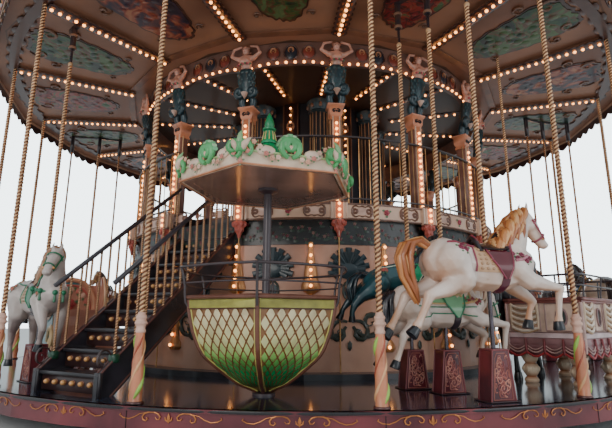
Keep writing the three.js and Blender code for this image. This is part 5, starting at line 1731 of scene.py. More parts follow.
def breast(pose, half, colour, stud):
    """Collar round the breast with six studs and tassels"""
    whole = shape()
    line = []
    for n in range(17):
        turn = math.radians(-110 + 220 * n / 16)
        line.append((0.2 + (half + 0.14) * math.cos(turn), (half * 1.12) * math.sin(turn),
                     pose["axis"] + 0.13 - 0.06 * math.cos(turn), 0.02))
    barred(whole, colour, line, sides=2)
    for n in range(6):
        x, y, z, _ = line[2 + round(12 * n / 5)]
        aim = Vector((x - 0.2, y, 0)).normalized()
        ball(whole, Vector((x, y, z)) + aim * 0.018, 0.036, (1, 1, 1), fine=2)
        dye(whole, stud)
        limb(whole, (x + aim.x * 0.02, y + aim.y * 0.02, z - 0.04, 0.014),
             (x + aim.x * 0.02, y + aim.y * 0.02, z - 0.11, 0.02))
        dye(whole, colour)
    return whole


def whole_horse(pose, half, cell, coats, manes, tack, tail=None, cloth=None):
    """Everything on a horse but its pole, in its own frame"""
    whole, aside = carve(pose, half, cell, *coats)
    tree = BVHTree.FromBMesh(whole)
    axis = pose["axis"]
    skirt, seat, trim, girth, blanket, collar, petal = tack
    if cloth:
        add(whole, draped(tree, axis, lambda t: (-0.36, 0.27), (-1.25, 1.25), cloth, out=0.006, across=24))
        for x in (-0.36, 0.27):
            strap(whole, tree, axis, [(x, -1.25), (x, 0.0), (x, 1.25)], 0.012, collar)
        for side in (-1, 1):
            strap(whole, tree, axis, [(-0.36, side * 1.25), (0.0, side * 1.25), (0.27, side * 1.25)], 0.012,
                  collar)
            for turn in (1.5, 1.95):
                strap(whole, tree, axis, [(-0.52, side * turn), (0.0, side * turn), (0.36, side * turn)],
                      0.008, trim)
    add(whole, saddle(tree, axis, skirt, seat, trim, girth, blanket))
    add(whole, hair(pose, manes, tail or manes))
    add(whole, hooves(pose, HORN))
    add(whole, bridle(pose, aside, trim))
    for side in (-1, 1):
        strap(whole, tree, axis, [(-0.56, side * 0.55), (-0.4, side * 0.6), (-0.2, side * 0.5)], 0.012,
              trim)
        strap(whole, tree, axis, [(0.2, side * 1.25), (0.28, side * 1.2), (0.36, side * 1.0)], 0.016,
              collar)
    rump = [(-0.44, side * 0.85) for side in (-1, 1)]
    rump += [(-0.48 + 0.05 * n, side * (0.98 + 0.06 * n)) for side in (-1, 1) for n in range(2)]
    add(whole, roses_on(tree, axis, rump, petal, 0.036))
    spots = [(0.2 + 0.045 * n, side * (0.82 + 0.2 * (n % 2) + 0.07 * n)) for side in (-1, 1)
             for n in range(5)]
    add(whole, roses_on(tree, axis, spots, petal, 0.034))
    return whole


def pole_parts(saddle_top, drop):
    """Twisted brass from the saddle up to a plain rod in its guide, and plain steel below the saddle"""
    end = 4.8 - DECK
    twist = rope(end - saddle_top, 0.026, 0.085)
    twist.transform(shift(0, 0, saddle_top))
    add(twist,
        dye(turned([(0.02, end - 0.02), (0.032, end - 0.01), (0.034, end + 0.02), (0.02, end + 0.04)], 12),
            tone(206, 160, 118)))
    rods = tubes([[(0, 0, 0.24 - drop, 0.0215), (0, 0, saddle_top + 0.02, 0.0215)],
                  [(0, 0, end, 0.0195), (0, 0, GUIDE_HEAD - drop - DECK, 0.0195)]], sides=2)
    return add(twist, dye(rods, tone(96, 88, 96), finish=1))


pole_steel = painted("pole steel", rough=0.24, metal=0.85, patch=9, dirt=0.35)
show_coat = painted("show coat", rough=0.3, patch=4, grain=30, relief=0.08, gloss=0.45, dirt=0.16)
# Each coat is a pair: the coat's own colour, then the colour of the painted shade on it.
CREAM_COAT = tone(240, 222, 212)
PEACHY = tone(214, 158, 122)
WINE = tone(98, 6, 32)
TACK = {
    "outer": (GALLOP, 0.2, (CREAM_COAT, PEACHY), (BLOND, tone(170, 98, 58), tone(232, 172, 116)),
              (WINE, tone(40, 30, 36), tone(150, 56, 78), tone(96, 34, 52), tone(210, 164, 126),
               tone(190, 116, 132), tone(138, 40, 70))),
    "middle": (BOWED, 0.17, (CREAM_COAT, tone(206, 172, 150)),
               (tone(226, 190, 160), tone(150, 100, 72), tone(236, 214, 196)),
               (tone(140, 196, 150), tone(204, 170, 120), tone(40, 132, 92), tone(64, 52, 58), None,
                tone(206, 162, 108), tone(170, 76, 80))),
    "inner": (REARING, 0.15, (tone(38, 84, 92), tone(20, 44, 56)), (tone(22, 34, 44), tone(38, 58, 66)),
              (tone(22, 158, 108), tone(30, 150, 104), tone(206, 214, 196), tone(24, 34, 42), None,
               tone(206, 214, 196), tone(190, 96, 84))),
    "grey": (STANDING, 0.19, (tone(206, 192, 186), tone(138, 118, 116)),
             (tone(172, 124, 94), tone(196, 150, 116)),
             (tone(24, 118, 78), tone(96, 60, 52), tone(20, 116, 80), tone(58, 50, 54), tone(196, 168, 140),
              tone(60, 120, 90), tone(196, 120, 100))),
}
for row, (pose, half, coats, manes, tack) in TACK.items():
    cell = 0.0125 if row in ("outer", "middle") else 0.015
    tail = (tone(30, 30, 38), tone(50, 46, 54)) if row == "middle" else None
    cloth = tone(150, 204, 152) if row == "middle" else None
    animal = whole_horse(pose, half, cell, coats, manes, tack, tail, cloth)
    if row in ("grey", "inner"):
        add(animal, breast(pose, half, tack[5], tack[2]))
    animal.transform(in_row(row))
    colour = {"inner": "teal", "grey": "grey"}.get(row, "cream")
    stand(f"show_horse_{row}", animal, show_coat, body=f"jumper_{row}", slot=f"horse_{colour}",
          nodes=(f"horse_{row}",), smooth=60)
    pole = pole_parts(SADDLE_TOP - PLACES[row][4], {"middle": 0.1, "grey": 0.05}.get(row, 0.0))
    pole.transform(at_pole(row))
    stand(f"show_pole_{row}", pole, show_paint, pole_steel, rope_brass, body=f"jumper_{row}",
          slot="brass_tube", nodes=(f"pole_{row}",), smooth=60)

# Black horse beside the howdah, on the side of the drum, with its own brass pole up to the ceiling. It is
# carved at a walk with all four feet on the floor, near black under a brown saddle, and it doesn't jump.
tack = (tone(130, 66, 58), tone(60, 36, 40), tone(206, 128, 88), tone(60, 40, 42), None, tone(206, 128, 88),
        tone(196, 96, 76))
black = whole_horse(WALKING, 0.145, 0.02, (tone(34, 36, 44), tone(20, 20, 26)),
                    (tone(20, 20, 26), tone(44, 42, 50)), tack)
black.transform(in_row("black", 1.09))
twist = rope(CEILING - DECK - 1.3 - 0.01, 0.0205, 0.075, finish=1)
twist.transform(at_pole("black") @ shift(0, 0, 1.3))
stand("show_horse_black", add(black, twist), show_coat, rope_brass, slot="horse_black",
      nodes=("horse_black",), smooth=60)

# Pedestal that hides each crank: a tapered box of burgundy wood on a dark foot plate.
# Its two wide faces are carved all over with leaf scrolls in a round-topped frame, and its sides are plain.
pedestal_paint = coat("pedestal paint", tone(112, 44, 52), tone(74, 30, 40), patch=4, rough=0.34, gloss=0.4)
FOOT_HALF, HEAD_HALF, DEEP_HALF = 0.1425, 0.0935, 0.095
PLATE_WIDE, PLATE_DEEP = FOOT_HALF + 0.035, DEEP_HALF + 0.035
PEDESTALS = {"outer": 0.49, "middle": 0.45, "inner": 0.43, "grey": 0.45}


def pedestal_trim(height):
    """Carved panels, corner beads, rim and foot plate round a pedestal"""
    whole = shape()
    panel = shape()
    frame_line = [(-0.8, 0.05), (0.8, 0.05), (0.78, 0.82), (0.5, 0.93), (-0.5, 0.93), (-0.78, 0.82),
                  (-0.8, 0.05)]
    # The frame and scrolls are painted in pinks lighter than the wine wood, as painted highlight on the
    # raised carving.
    barred(panel, tone(164, 98, 88), [(x * FOOT_HALF, 0, z * height, 0.006) for x, z in frame_line])
    for n in range(26):
        x, z = 0.4 * math.sin(n * 2.4) + 0.1 * math.cos(n * 5.0), 0.12 + 0.74 * (n + 0.5) / 26
        line = scroll((x, z), n * 1.9, 0.34, 5, hand=1 if n % 2 else -1, thick=0.14, steps=3)
        swirl = [(max(-0.7, min(0.7, px)) * FOOT_HALF, 0, max(0.1, min(0.88, z + (pz - z) * 0.34)) * height,
                  0.0062) for px, _, pz, _ in line]
        barred(panel, (tone(206, 140, 122), tone(150, 80, 78), tone(178, 106, 94))[n % 3], swirl)
    for vert in panel.verts:
        taper = 1 + (HEAD_HALF / FOOT_HALF - 1) * vert.co.z / height
        vert.co = Vector((vert.co.x * taper, vert.co.y - DEEP_HALF, vert.co.z))
    add(whole, panel, Matrix(), about(math.pi))
    edges = [[(side * FOOT_HALF, face * DEEP_HALF, 0.004, 0.009),
              (side * HEAD_HALF, face * DEEP_HALF, height - 0.004, 0.008)] for side in (-1, 1)
             for face in (-1, 1)]
    corners = [(-HEAD_HALF, -DEEP_HALF), (HEAD_HALF, -DEEP_HALF), (HEAD_HALF, DEEP_HALF),
               (-HEAD_HALF, DEEP_HALF), (-HEAD_HALF, -DEEP_HALF)]
    edges.append([(x, y, height - 0.004, 0.01) for x, y in corners])
    barred(whole, tone(136, 66, 70), *edges, sides=2)
    ring = [(-1, -1, 1, -0.86), (-1, 0.86, 1, 1), (-1, -1, -0.92, 1), (0.92, -1, 1, 1)]
    for x0, y0, x1, y1 in ring:
        boxed(whole, tone(60, 44, 48), (x0 * PLATE_WIDE, y0 * PLATE_DEEP, 0.002),
              (x1 * PLATE_WIDE, y1 * PLATE_DEEP, 0.014))
    return whole


for row, height in PEDESTALS.items():
    repaint(f"pedestal_{row}", pedestal_paint)
    trim = thinned(pedestal_trim(height), 0.7)
    trim.transform(at_pole(row))
    stand(f"pedestal_trim_{row}", trim, show_paint, slot="rim_paint", smooth=50)

# Hangers under the ceiling: dark steel bars with a guide sleeve over each pole, bolted up to the ribs.
# Each sleeve has a turned ring round its foot and another round its head.
hanger_paint = coat("hanger paint", tone(54, 48, 54), tone(80, 56, 48), patch=6, rough=0.5, metal=0.3)
repaint("jumper_hanger", hanger_paint)
repaint("grey_hanger", hanger_paint)
sleeves = shape()
for row in ("outer", "middle", "inner", "grey"):
    sleeve_ring = turned([(0.043, 0.0), (0.052, 0.004), (0.056, 0.02), (0.052, 0.036), (0.043, 0.04)], 16)
    add(sleeves, sleeve_ring, at_pole(row) @ shift(0, 0, GUIDE_FOOT - DECK),
        at_pole(row) @ shift(0, 0, GUIDE_HEAD - DECK))
stand("hanger_rings", dye(sleeves, tone(140, 104, 84)), show_paint, slot="dark_metal")

# Rows on the sides that repeat: the same three horses in other colours on like pedestals, poles and
# hanger bar. They don't jump, so each row is one piece, and they are carved a little coarser than the
# horses in front.
# Each pair is a coat colour and the colour of the painted shade on it.
COATS = ((tone(214, 196, 180), tone(160, 118, 92)), (tone(150, 112, 84), tone(92, 62, 50)),
         (tone(92, 98, 108), tone(52, 54, 64)), (CREAM_COAT, PEACHY),
         (tone(186, 140, 104), tone(120, 78, 58)))
CLOTHS = ((tone(36, 84, 120), tone(60, 40, 40), tone(212, 176, 96)),
          (tone(150, 48, 52), tone(48, 34, 36), tone(220, 190, 130)),
          (tone(40, 120, 84), tone(90, 56, 46), tone(222, 204, 160)))
for number, (name, turned_bays) in enumerate((("right", 3), ("rear", 8), ("left", 11))):
    group = shape()
    for k, (row, pose, half) in enumerate((("outer", GALLOP, 0.2), ("middle", BOWED, 0.17),
                                           ("inner", REARING, 0.15))):
        skirt, seat, trim = CLOTHS[(number + k) % 3]
        manes = (BLOND, tone(150, 92, 60)) if (number + k) % 2 else (tone(44, 36, 40), tone(70, 56, 54))
        tack = (skirt, seat, trim, trim, None, trim, tone(196, 110, 96))
        animal = whole_horse(pose, half, 0.025, COATS[(2 * number + k) % 5], manes, tack)
        add(group, thinned(animal, 0.32), in_row(row, turned_bays=turned_bays))
        height = PEDESTALS[row]
        box = block((-FOOT_HALF, -DEEP_HALF, 0.002), (FOOT_HALF, DEEP_HALF, height))
        for vert in box.verts:
            vert.co.x *= 1 + (HEAD_HALF / FOOT_HALF - 1) * vert.co.z / height
        dye(box, tone(104, 42, 50))
        add(box, thinned(pedestal_trim(height), 0.18))
        twist = rope(CEILING - DECK - 0.02 - 1.45, 0.0205, 0.09, sides=6, steps=6, finish=1)
        twist.transform(shift(0, 0, 1.45))
        add(box, twist)
        barred(box, tone(92, 84, 92), [(0, 0, height - 0.02, 0.021), (0, 0, SADDLE_TOP, 0.021)], sides=2)
        add(group, box, at_pole(row, turned_bays))
    bar_mesh = shape()
    bar_mesh.from_mesh(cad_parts["jumper_hanger"].data)
    bmesh.ops.remove_doubles(bar_mesh, verts=bar_mesh.verts, dist=1e-5)
    dye(bar_mesh, tone(56, 50, 56))
    add(group, bar_mesh, about(turned_bays * BAY))
    stand(f"show_row_{name}", group, show_coat, rope_brass, slot="horse_cream",
          nodes=(f"horse_row_{name}",), smooth=60)

# Howdah carriage: a panelled wooden tub on four bulbous feet, cream and pale pink, for riders on two
# benches. Its panels carry carved drapery or a sunk oval, and a burgundy valance of carved swags hangs
# round its floor.
TUB_HALF = (0.75, 0.45)
ROOM_FLOOR, ROOM_TOP = 0.45, 1.005
PANEL_MIDDLE = 0.81
PANEL_PINK = tone(232, 198, 178)
PALE_PINK = tone(232, 204, 206)
SWAG_TAN = tone(196, 158, 122)
WINE_DARK = tone(92, 30, 40)


def brush(bm, first, second, share_at):
    """Paints a shape from one colour to another by a rule on each place"""
    layer = bm.loops.layers.float_color["paint"]
    for face in bm.faces:
        for loop in face.loops:
            loop[layer] = blend(first, second, min(1.0, max(0.0, share_at(loop.vert.co))))


def howdah_side(width, swagged):
    """One side of the tub, facing -Y at the origin: panels, band and valance between two corner posts"""
    side = dye(block((-width / 2, 0.0, ROOM_FLOOR), (width / 2, 0.04, ROOM_TOP)), PANEL_PINK)
    count = max(2, round(width / 0.37))
    step = width / count
    for n in range(count):
        x = -width / 2 + (n + 0.5) * step
        frame_line = [(x + a * step * 0.42, -0.004, PANEL_MIDDLE + b * 0.165, 0.009)
                      for a, b in ((-1, -1), (1, -1), (1, 1), (-1, 1), (-1, -1))]
        barred(side, tone(176, 140, 134), frame_line)
        if (n % 2 == 0) == swagged:
            for row in range(5):
                top = 0.965 - 0.07 * row
                line = [(x + step * 0.36 * (k / 4 - 1), -0.012 - 0.018 * math.sin(math.pi * k / 8),
                         top - 0.045 * math.sin(math.pi * k / 8), 0.016) for k in range(9)]
                barred(side, tone(242, 224, 204), line, sides=2)
                barred(side, SWAG_TAN, [(px, py + 0.006, pz - 0.022, 0.012) for px, py, pz, _ in line])
            for end in (-1, 1):
                limb(side, (x + end * step * 0.36, -0.012, 0.97, 0.022),
                     (x + end * step * 0.38, -0.012, 0.8, 0.018),
                     (x + end * step * 0.37, -0.012, 0.67, 0.012))
            dye(side, tone(226, 196, 166))
        else:
            barred(side, tone(150, 118, 118), oval(x, -0.008, PANEL_MIDDLE, 0.062, 0.105, 0.012), sides=2)
            ball(side, (x, 0.0, PANEL_MIDDLE), 0.062, (1, 0.1, 1.65), fine=2)
            dye(side, tone(44, 60, 58))
    boxed(side, PALE_PINK, (-width / 2 - 0.012, -0.014, 0.56), (width / 2 + 0.012, 0.02, 0.622), 0.005)
    for height in (0.557, 0.626):
        barred(side, tone(120, 78, 78), [(-width / 2 - 0.014, -0.014, height, 0.006),
                                         (width / 2 + 0.014, -0.014, height, 0.006)])
    scallops = max(2, round(width / 0.25))
    wide = width / scallops
    for n in range(scallops):
        x = -width / 2 + (n + 0.5) * wide
        sheet = shape()
        bmesh.ops.create_grid(sheet, x_segments=12, y_segments=8, size=0.5)
        for vert in sheet.verts:
            u, down = vert.co.x, 0.5 - vert.co.y
            low = 0.39 - 0.055 * math.cos(math.pi * u)
            vert.co = Vector((x + u * wide, -0.016 - 0.02 * math.cos(math.pi * u) * down
                              - 0.006 * math.sin(down * 22 + 3 * math.cos(math.pi * u)),
                              0.556 - (0.556 - low) * down))
        thicken(sheet, (0, 0.014, 0))
        brush(sheet, tone(176, 130, 132), WINE_DARK, lambda place: (0.556 - place.z) / 0.16)
        add(side, sheet)
        for lift, thick, colour in ((0.0, 0.013, tone(176, 54, 58)), (0.05, 0.008, tone(206, 168, 160)),
                                    (0.085, 0.007, tone(200, 160, 154))):
            line = [(x + (k / 10 - 0.5) * wide, -0.04 + 0.012 * abs(k - 5) / 5,
                     0.39 + lift - 0.055 * math.cos(math.pi * (k / 10 - 0.5)), thick) for k in range(11)]
            barred(side, colour, line)
        limb(side, (x + wide / 2, -0.03, 0.54, 0.014), (x + wide / 2, -0.036, 0.42, 0.018),
             (x + wide / 2, -0.03, 0.36, 0.009))
        dye(side, tone(128, 44, 50))
    return side


def howdah():
    """The whole carriage but its rail, standing on the origin and facing +X"""
    tub = shape()
    for turn, out, width, swagged in ((-90, TUB_HALF[0], 0.9, True), (90, TUB_HALF[0], 0.9, True),
                                      (0, TUB_HALF[1], 1.5, True), (180, TUB_HALF[1], 1.5, True)):
        add(tub, howdah_side(width - 0.01, swagged), about(math.radians(turn)) @ shift(0, -out, 0))
    boxed(tub, tone(84, 62, 58), (-0.74, -0.44, ROOM_FLOOR), (0.74, 0.44, ROOM_FLOOR + 0.05))
    for end in (-1, 1):
        low, high = sorted((end * 0.7, end * 0.35))
        boxed(tub, tone(96, 60, 56), (low, -0.405, ROOM_FLOOR + 0.05), (high, 0.405, ROOM_FLOOR + 0.29))
        for slat in range(4):
            x = low + 0.04 + slat * 0.09
            boxed(tub, tone(132, 84, 68), (x - 0.036, -0.405, ROOM_FLOOR + 0.29),
                  (x + 0.036, 0.405, ROOM_FLOOR + 0.318), 0.008)
        for side in (-1, 1):
            foot = turned([(0, 0.002), (0.07, 0.002), (0.078, 0.03), (0.062, 0.06), (0.05, 0.07),
                           (0.078, 0.12), (0.088, 0.17), (0.07, 0.22), (0.055, 0.235), (0.078, 0.28),
                           (0.09, 0.33), (0.078, 0.385), (0.06, 0.4), (0.075, 0.45), (0, 0.46)], 20)
            brush(foot, tone(184, 116, 74), tone(252, 226, 196),
                  lambda place: (place.xy.length - 0.05) / 0.035)
            for k in range(10):
                turn = k * math.pi / 5
                for mid in (0.165, 0.33):
                    ball(foot, (0.078 * math.cos(turn), 0.078 * math.sin(turn), mid), 0.026,
                         (0.7, 0.7, 1.5))
            dye(foot, tone(252, 228, 200))
            bmesh.ops.scale(foot, vec=(1.16, 1.16, 1), verts=foot.verts)
            add(tub, foot, shift(end * 0.55, side * 0.29, 0))
    for corner in ((-1, -1), (1, -1), (1, 1), (-1, 1)):
        x, y = corner[0] * (TUB_HALF[0] + 0.002), corner[1] * (TUB_HALF[1] + 0.002)
        limb(tub, (x, y, 0.4, 0.02), (x, y, 0.5, 0.026), (x, y, 0.62, 0.022), (x, y, 0.98, 0.02))
    return dye(tub, tone(206, 168, 160))


tub = thinned(howdah(), 0.6)
far_tub = add(shape(), tub)
seat_of = about(1.62 * BAY) @ shift(0, -5.08, DECK)
tub.transform(seat_of)
stand("show_howdah", tub, show_paint, slot="horse_cream", nodes=("howdah_tub",), smooth=40)

# Rim and rails of the howdah: a moulded red-brown rim, and two thin steel bars on uprights that lean out.
# The upper bar stands further out than the lower one, and both go round the corners in soft bends.
hand = shape()
for turn, out, half_wide in ((0, TUB_HALF[1], TUB_HALF[0]), (180, TUB_HALF[1], TUB_HALF[0]),
                             (90, TUB_HALF[0], TUB_HALF[1]), (270, TUB_HALF[0], TUB_HALF[1])):
    edge_board = block((-half_wide - 0.034, -out - 0.034, ROOM_TOP + 0.001),
                       (half_wide + 0.034, -out + 0.05, ROOM_TOP + 0.042), 0.012)
    add(edge_board, block((-half_wide - 0.02, -out - 0.02, ROOM_TOP - 0.024),
                          (half_wide + 0.02, -out + 0.002, ROOM_TOP + 0.004), 0.006))
    add(hand, dye(edge_board, tone(142, 78, 72)), about(math.radians(turn)))
bars = []
for lift, grow, thick in ((0.185, 0.014, 0.0105), (0.314, 0.032, 0.013)):
    x, y, soft = TUB_HALF[0] + grow, TUB_HALF[1] + grow, 0.1
    line = []
    for cx, cy, start in ((x - soft, y - soft, 0), (-x + soft, y - soft, 90), (-x + soft, -y + soft, 180),
                          (x - soft, -y + soft, 270)):
        line += [(cx + soft * math.cos(math.radians(start + 18 * k)),
                  cy + soft * math.sin(math.radians(start + 18 * k)), ROOM_TOP + lift, thick)
                 for k in range(6)]
    bars.append(line + [line[0]])
for a, b in ((-0.62, -1), (0, -1), (0.62, -1), (-0.62, 1), (0, 1), (0.62, 1)):
    bars.append([(a, b * (TUB_HALF[1] + d), ROOM_TOP + z, 0.011)
                 for d, z in ((0.0, 0.03), (0.004, 0.1), (0.014, 0.185), (0.032, 0.314))])
for a, b in ((-1, -0.2), (-1, 0.2), (1, -0.2), (1, 0.2)):
    bars.append([(a * (TUB_HALF[0] + d), b, ROOM_TOP + z, 0.011)
                 for d, z in ((0.0, 0.03), (0.004, 0.1), (0.014, 0.185), (0.032, 0.314))])
barred(hand, tone(70, 60, 66), *bars, sides=2)
far_hand = add(shape(), hand)
hand.transform(seat_of)
stand("show_howdah_rail", hand, show_paint, slot="dark_metal", nodes=("howdah_rail",), smooth=40)
add(far_tub, far_hand)
far_tub.transform(about(math.pi) @ seat_of)
stand("far_howdah", thinned(far_tub, 0.5), show_paint, slot="horse_cream", nodes=("howdah_far",), smooth=40)

# Coach with a round arched back: side walls in dusty pink with teal fields, and a teal back with a ring
# of roses. Pale scrolls and gilt beads are carved on its walls, and a firm red pad lies on its bench.
coach_place = about(-2.55 * BAY) @ shift(0, -4.6, DECK)
coach_paint = coat("coach paint", tone(208, 146, 122), tone(168, 108, 92), patch=3, rough=0.35, gloss=0.35)
repaint("coach", coach_paint)
side_line = []
for start, handle, end in (((-0.62, 0.12), (-0.8, 0.7), (-0.64, 1.15)),
                           ((-0.64, 1.15), (-0.56, 1.44), (-0.33, 1.44)),
                           ((-0.33, 1.44), (-0.16, 1.3), (-0.12, 0.9)),
                           ((-0.12, 0.9), (0.1, 0.64), (0.56, 0.9)),
                           ((0.56, 0.9), (0.7, 0.7), (0.56, 0.12))):
    for k in range(7):
        t = k / 7
        side_line.append(tuple((1 - t) ** 2 * a + 2 * t * (1 - t) * h + t * t * e
                               for a, h, e in zip(start, handle, end)))
side_line.append((0.56, 0.12))
cab = shape()
for side in (-1, 1):
    for shrink, out, colour, thick in ((1.0, 0.43, tone(236, 186, 150), 0.022),
                                       (0.9, 0.434, tone(60, 128, 130), 0.012)):
        line = [(x * shrink, side * out, 0.12 + (z - 0.12) * shrink + 0.03 * (1 - shrink) * 10, thick)
                for x, z in side_line]
        barred(cab, colour, line, sides=2)
    for x, z, heading, size, hand_way in ((-0.4, 0.55, 1.2, 0.24, 1), (0.3, 0.45, 1.8, 0.2, -1),
                                          (-0.35, 1.0, 1.4, 0.16, -1)):
        line = scroll((x, z), heading, size, 6, hand=hand_way, thick=0.14)
        barred(cab, tone(234, 200, 150), set_back(line, side * 0.436))
    add(cab, rose(tone(196, 92, 92), 0.06), shift(-0.38, side * 0.44, 0.75)
        @ about(0 if side < 0 else math.pi))
    field = shape()
    field.faces.new([field.verts.new((x * 0.86, side * 0.4305, 0.12 + (z - 0.12) * 0.86 + 0.045))
                     for x, z in side_line[:-1]])
    add(cab, dye(thicken(field, (0, side * 0.005, 0)), tone(30, 112, 120)))
    for n in range(0, 33, 2):
        x, z = side_line[n]
        ball(cab, (x * 0.95, side * 0.436, 0.12 + (z - 0.12) * 0.95 + 0.015), 0.024, (1, 0.5, 1))
    dye(cab, tone(226, 160, 84))
arch_line = [(-0.57, -0.37 * math.cos(k * math.pi / 16), 1.02 + 0.38 * math.sin(k * math.pi / 16))
             for k in range(17)]
arch_line = [(-0.57, -0.37, 0.5), *arch_line, (-0.57, 0.37, 0.5)]
back = shape()
back.faces.new([back.verts.new(spot) for spot in arch_line])
add(cab, dye(thicken(back, (-0.03, 0, 0)), tone(46, 122, 128)))
barred(cab, tone(232, 170, 136), [(x + 0.01, y, z, 0.04) for x, y, z in arch_line], sides=2)
barred(cab, tone(214, 104, 96), [(x + 0.02, y * 0.82, 0.5 + (z - 0.5) * 0.9, 0.014)
                                 for x, y, z in arch_line])
for n in range(7):
    turn = math.pi * (n + 0.5) / 7
    add(cab, rose((tone(222, 130, 116), tone(240, 196, 172))[n % 2], 0.045),
        shift(-0.55, -0.24 * math.cos(turn), 1.0 + 0.24 * math.sin(turn)) @ about(math.pi / 2))
add(cab, rose(tone(214, 92, 96), 0.09), shift(-0.55, 0, 1.0) @ about(math.pi / 2))
pad = shape()
bmesh.ops.create_grid(pad, x_segments=14, y_segments=20, size=0.5)
for vert in pad.verts:
    x, y = vert.co.x * 2, vert.co.y * 2
    vert.co = Vector((-0.34 + 0.18 * x, 0.37 * y,
                      0.66 + 0.045 * (1 - abs(x) ** 4) * (1 - abs(y) ** 6)
                      - 0.012 * abs(math.sin(y * 4.7)) ** 8))
dye(let_down(pad, 0.642), tone(146, 52, 60))
pad.transform(coach_place)
cushion = stand("coach_cushion", pad, leathercloth, slot="seat_cover", smooth=50)
cab.transform(coach_place)
stand("coach_trim", cab, show_paint, slot="horse_cream", smooth=45)

# Rounding boards round the edge of the roof: leaning boards in cream, framed bay by bay and lit along
# both edges. Each has an oval of painted leaves between two scrolls, and a dark cut valance hangs below
# them.
EDGE_LOW, EDGE_HIGH = (6.3104, 5.38), (6.4704, 6.23)
FLAT = math.cos(BAY / 2)
OVAL_MIDDLE = 5.76
HEM_OUT = 6.285 * FLAT
HEM_WIDE = 2.44
repaint("rounding_boards", coat("rounding paint", tone(206, 176, 150), tone(170, 136, 116), patch=1.3,
                                rough=0.4, gloss=0.25))
board = shape()
plates = [((-1.22, 5.4), (1.22, 5.46), tone(112, 50, 54)), ((-1.23, 6.05), (1.23, 6.11), tone(112, 50, 54))]
plates += [((side * 1.1 - 0.05, 5.46), (side * 1.1 + 0.05, 6.05), tone(206, 150, 112)) for side in (-1, 1)]
for low, high, colour in plates:
    boxed(board, colour, (low[0], -0.02, low[1]), (high[0], 0.012, high[1]), 0.006)
for side in (-1, 1):
    for x, z, heading, size, way in ((0.56, OVAL_MIDDLE, 0.9, 0.15, -1), (0.56, OVAL_MIDDLE, -0.9, 0.15, 1),
                                     (0.96, 5.6, 2.2, 0.11, 1), (0.96, 5.92, -2.2, 0.11, -1)):
        line = scroll((side * x, z), heading if side > 0 else math.pi - heading, size, 6, hand=way * side,
                      thick=0.14)
        barred(board, tone(150, 92, 68), set_back(line, -0.014))
    add(board, rose(tone(186, 72, 78), 0.06), shift(side * 0.72, -0.01, OVAL_MIDDLE))
board = thinned(board, 0.4)
barred(board, tone(196, 134, 92), oval(0, -0.012, OVAL_MIDDLE, 0.5, 0.24, 0.02, steps=32), sides=2)
ball(board, (0, 0.008, OVAL_MIDDLE), 0.49, (1, 0.03, 0.48), fine=3)
dye(board, (0.9, 0.9, 0.9, 1), finish=1)
add(board, bulbs(*(shift(-1.0 + 2.0 * n / 11, -0.024, z) for n in range(12) for z in (5.43, 6.08))))
slope_out = (EDGE_HIGH[0] - EDGE_LOW[0]) * FLAT / (EDGE_HIGH[1] - EDGE_LOW[1])
for vert in board.verts:
    vert.co.y -= EDGE_LOW[0] * FLAT + (vert.co.z - EDGE_LOW[1]) * slope_out
cloth = shape()
bmesh.ops.create_grid(cloth, x_segments=45, y_segments=1, size=0.5)
for vert in cloth.verts:
    u, down = vert.co.x, 0.5 - vert.co.y
    vert.co = Vector((u * HEM_WIDE, -HEM_OUT, 5.43 - down * (0.1 + 0.075 * abs(math.cos(9 * math.pi * u)))))
add(board, dye(thicken(cloth, (0, 0.012, 0)), tone(64, 38, 38)))
for n in range(9):
    x = HEM_WIDE * (n + 0.5 - 4.5) / 9
    ball(board, (x, -HEM_OUT - 0.008, 5.315), 0.022, (1, 0.7, 1.4))
dye(board, tone(150, 100, 66))
board.transform(about(BAY / 2))
round_axis(board, POLES)
stand("rounding_carving", board, show_paint, GLADE, slot="horse_cream", smooth=45)

# Roof: a canvas tilt laced over sixteen rafters, in cream and dusty rose by the bay, with a batten on
# each seam. Round studs hold each batten down, and a red-brown hem runs along the lower edge.
DUSTY_ROSE = (0.52, 0.16, 0.17, 1)
tilt = coat("roof canvas", tone(226, 200, 182), tone(186, 156, 142), patch=0.8, rough=0.75, grain=220,
            relief=0.3)
out, bay = bay_place(tilt)
odd = worked(tilt, "MODULO", worked(tilt, "ADD", bay, 32.0), 2.0)
repaint("roof", tinted(tilt, DUSTY_ROSE, odd))
batten = tubes([[(0, -6.34, 6.262, 0.03), (0, -3.4, 7.17, 0.026), (0, -0.46, 8.062, 0.022)]], sides=2)
dye(batten, tone(206, 160, 118))
for n in range(1, 6):
    ball(batten, (0, -6.34 + n * 0.98, 6.29 + n * 0.3035), 0.03, (1, 1, 0.6))
dye(batten, tone(150, 108, 76))
round_axis(batten, POLES)
hem = shape()
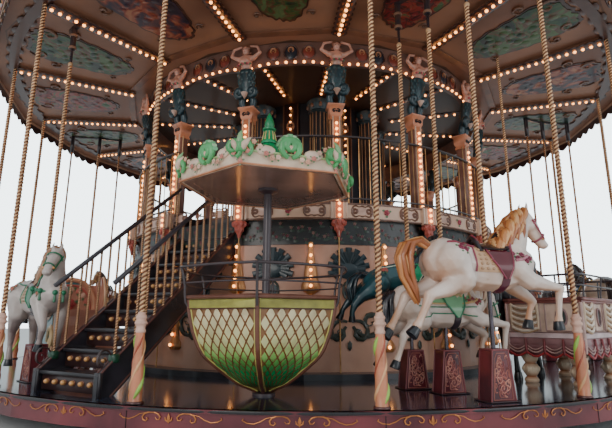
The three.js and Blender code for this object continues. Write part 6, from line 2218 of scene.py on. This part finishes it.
for n in range(POLES):
    a0, a1 = n * BAY, (n + 1) * BAY
    line = [out_at(a, 6.37, 6.262, 0.024) for a in (a0, a1)]
    add(hem, tubes([line], sides=2))
add(batten, dye(hem, tone(120, 52, 56)))
stand("roof_battens", batten, show_paint, slot="roof_tilt", smooth=50)

# Gilded finial on the top of the roof, turned in wood over a lead cap.
# A ball, a ringed neck and a thin spike stand over one another, and twelve dark ribs run down the ball.
finial = turned([(0, 8.06), (0.25, 8.06), (0.26, 8.1), (0.255, 8.16), (0.2, 8.2), (0.15, 8.22),
                 (0.145, 8.25), (0.19, 8.29), (0.235, 8.34), (0.242, 8.39), (0.22, 8.46), (0.16, 8.52),
                 (0.1, 8.56), (0.085, 8.575), (0.11, 8.59), (0.122, 8.62), (0.11, 8.65), (0.065, 8.67),
                 (0.05, 8.7), (0.038, 8.8), (0.03, 8.92), (0.022, 9.0), (0.03, 9.01), (0.024, 9.035),
                 (0, 9.045)], 32)
dye(finial, OLD_GOLD)
for n in range(12):
    turn = n * math.pi / 6
    line = [out_at(turn, r, z, 0.012) for r, z in ((0.15, 8.25), (0.235, 8.33), (0.245, 8.39), (0.2, 8.48),
                                                   (0.1, 8.56))]
    barred(finial, tone(176, 112, 70), line)
stand("show_finial", finial, gilding, slot="brass_tube", nodes=("roof_finial",), smooth=50)

# Slim brass posts under the columns, from each carved drop down to a cup foot on the platform.
# There are sixteen, one to a column, each a plain thin tube that stands close in front of the drum.
post = tubes([[(0, -UPPER_FLOOR_OUT - 0.062, DECK + 0.002, 0.011),
               (0, -UPPER_FLOOR_OUT - 0.062, UNDER_FLOOR - 0.25, 0.011)]], sides=2)
cup = turned([(0, 0.001), (0.05, 0.001), (0.05, 0.008), (0.03, 0.03), (0.018, 0.07), (0, 0.075)], 12,
             at=(0, -UPPER_FLOOR_OUT - 0.062))
cup.transform(shift(0, 0, DECK))
add(post, cup)
dye(post, tone(206, 156, 112))
round_axis(post, POLES)
stand("slim_posts", post, old_brass, slot="brass_tube", smooth=50)
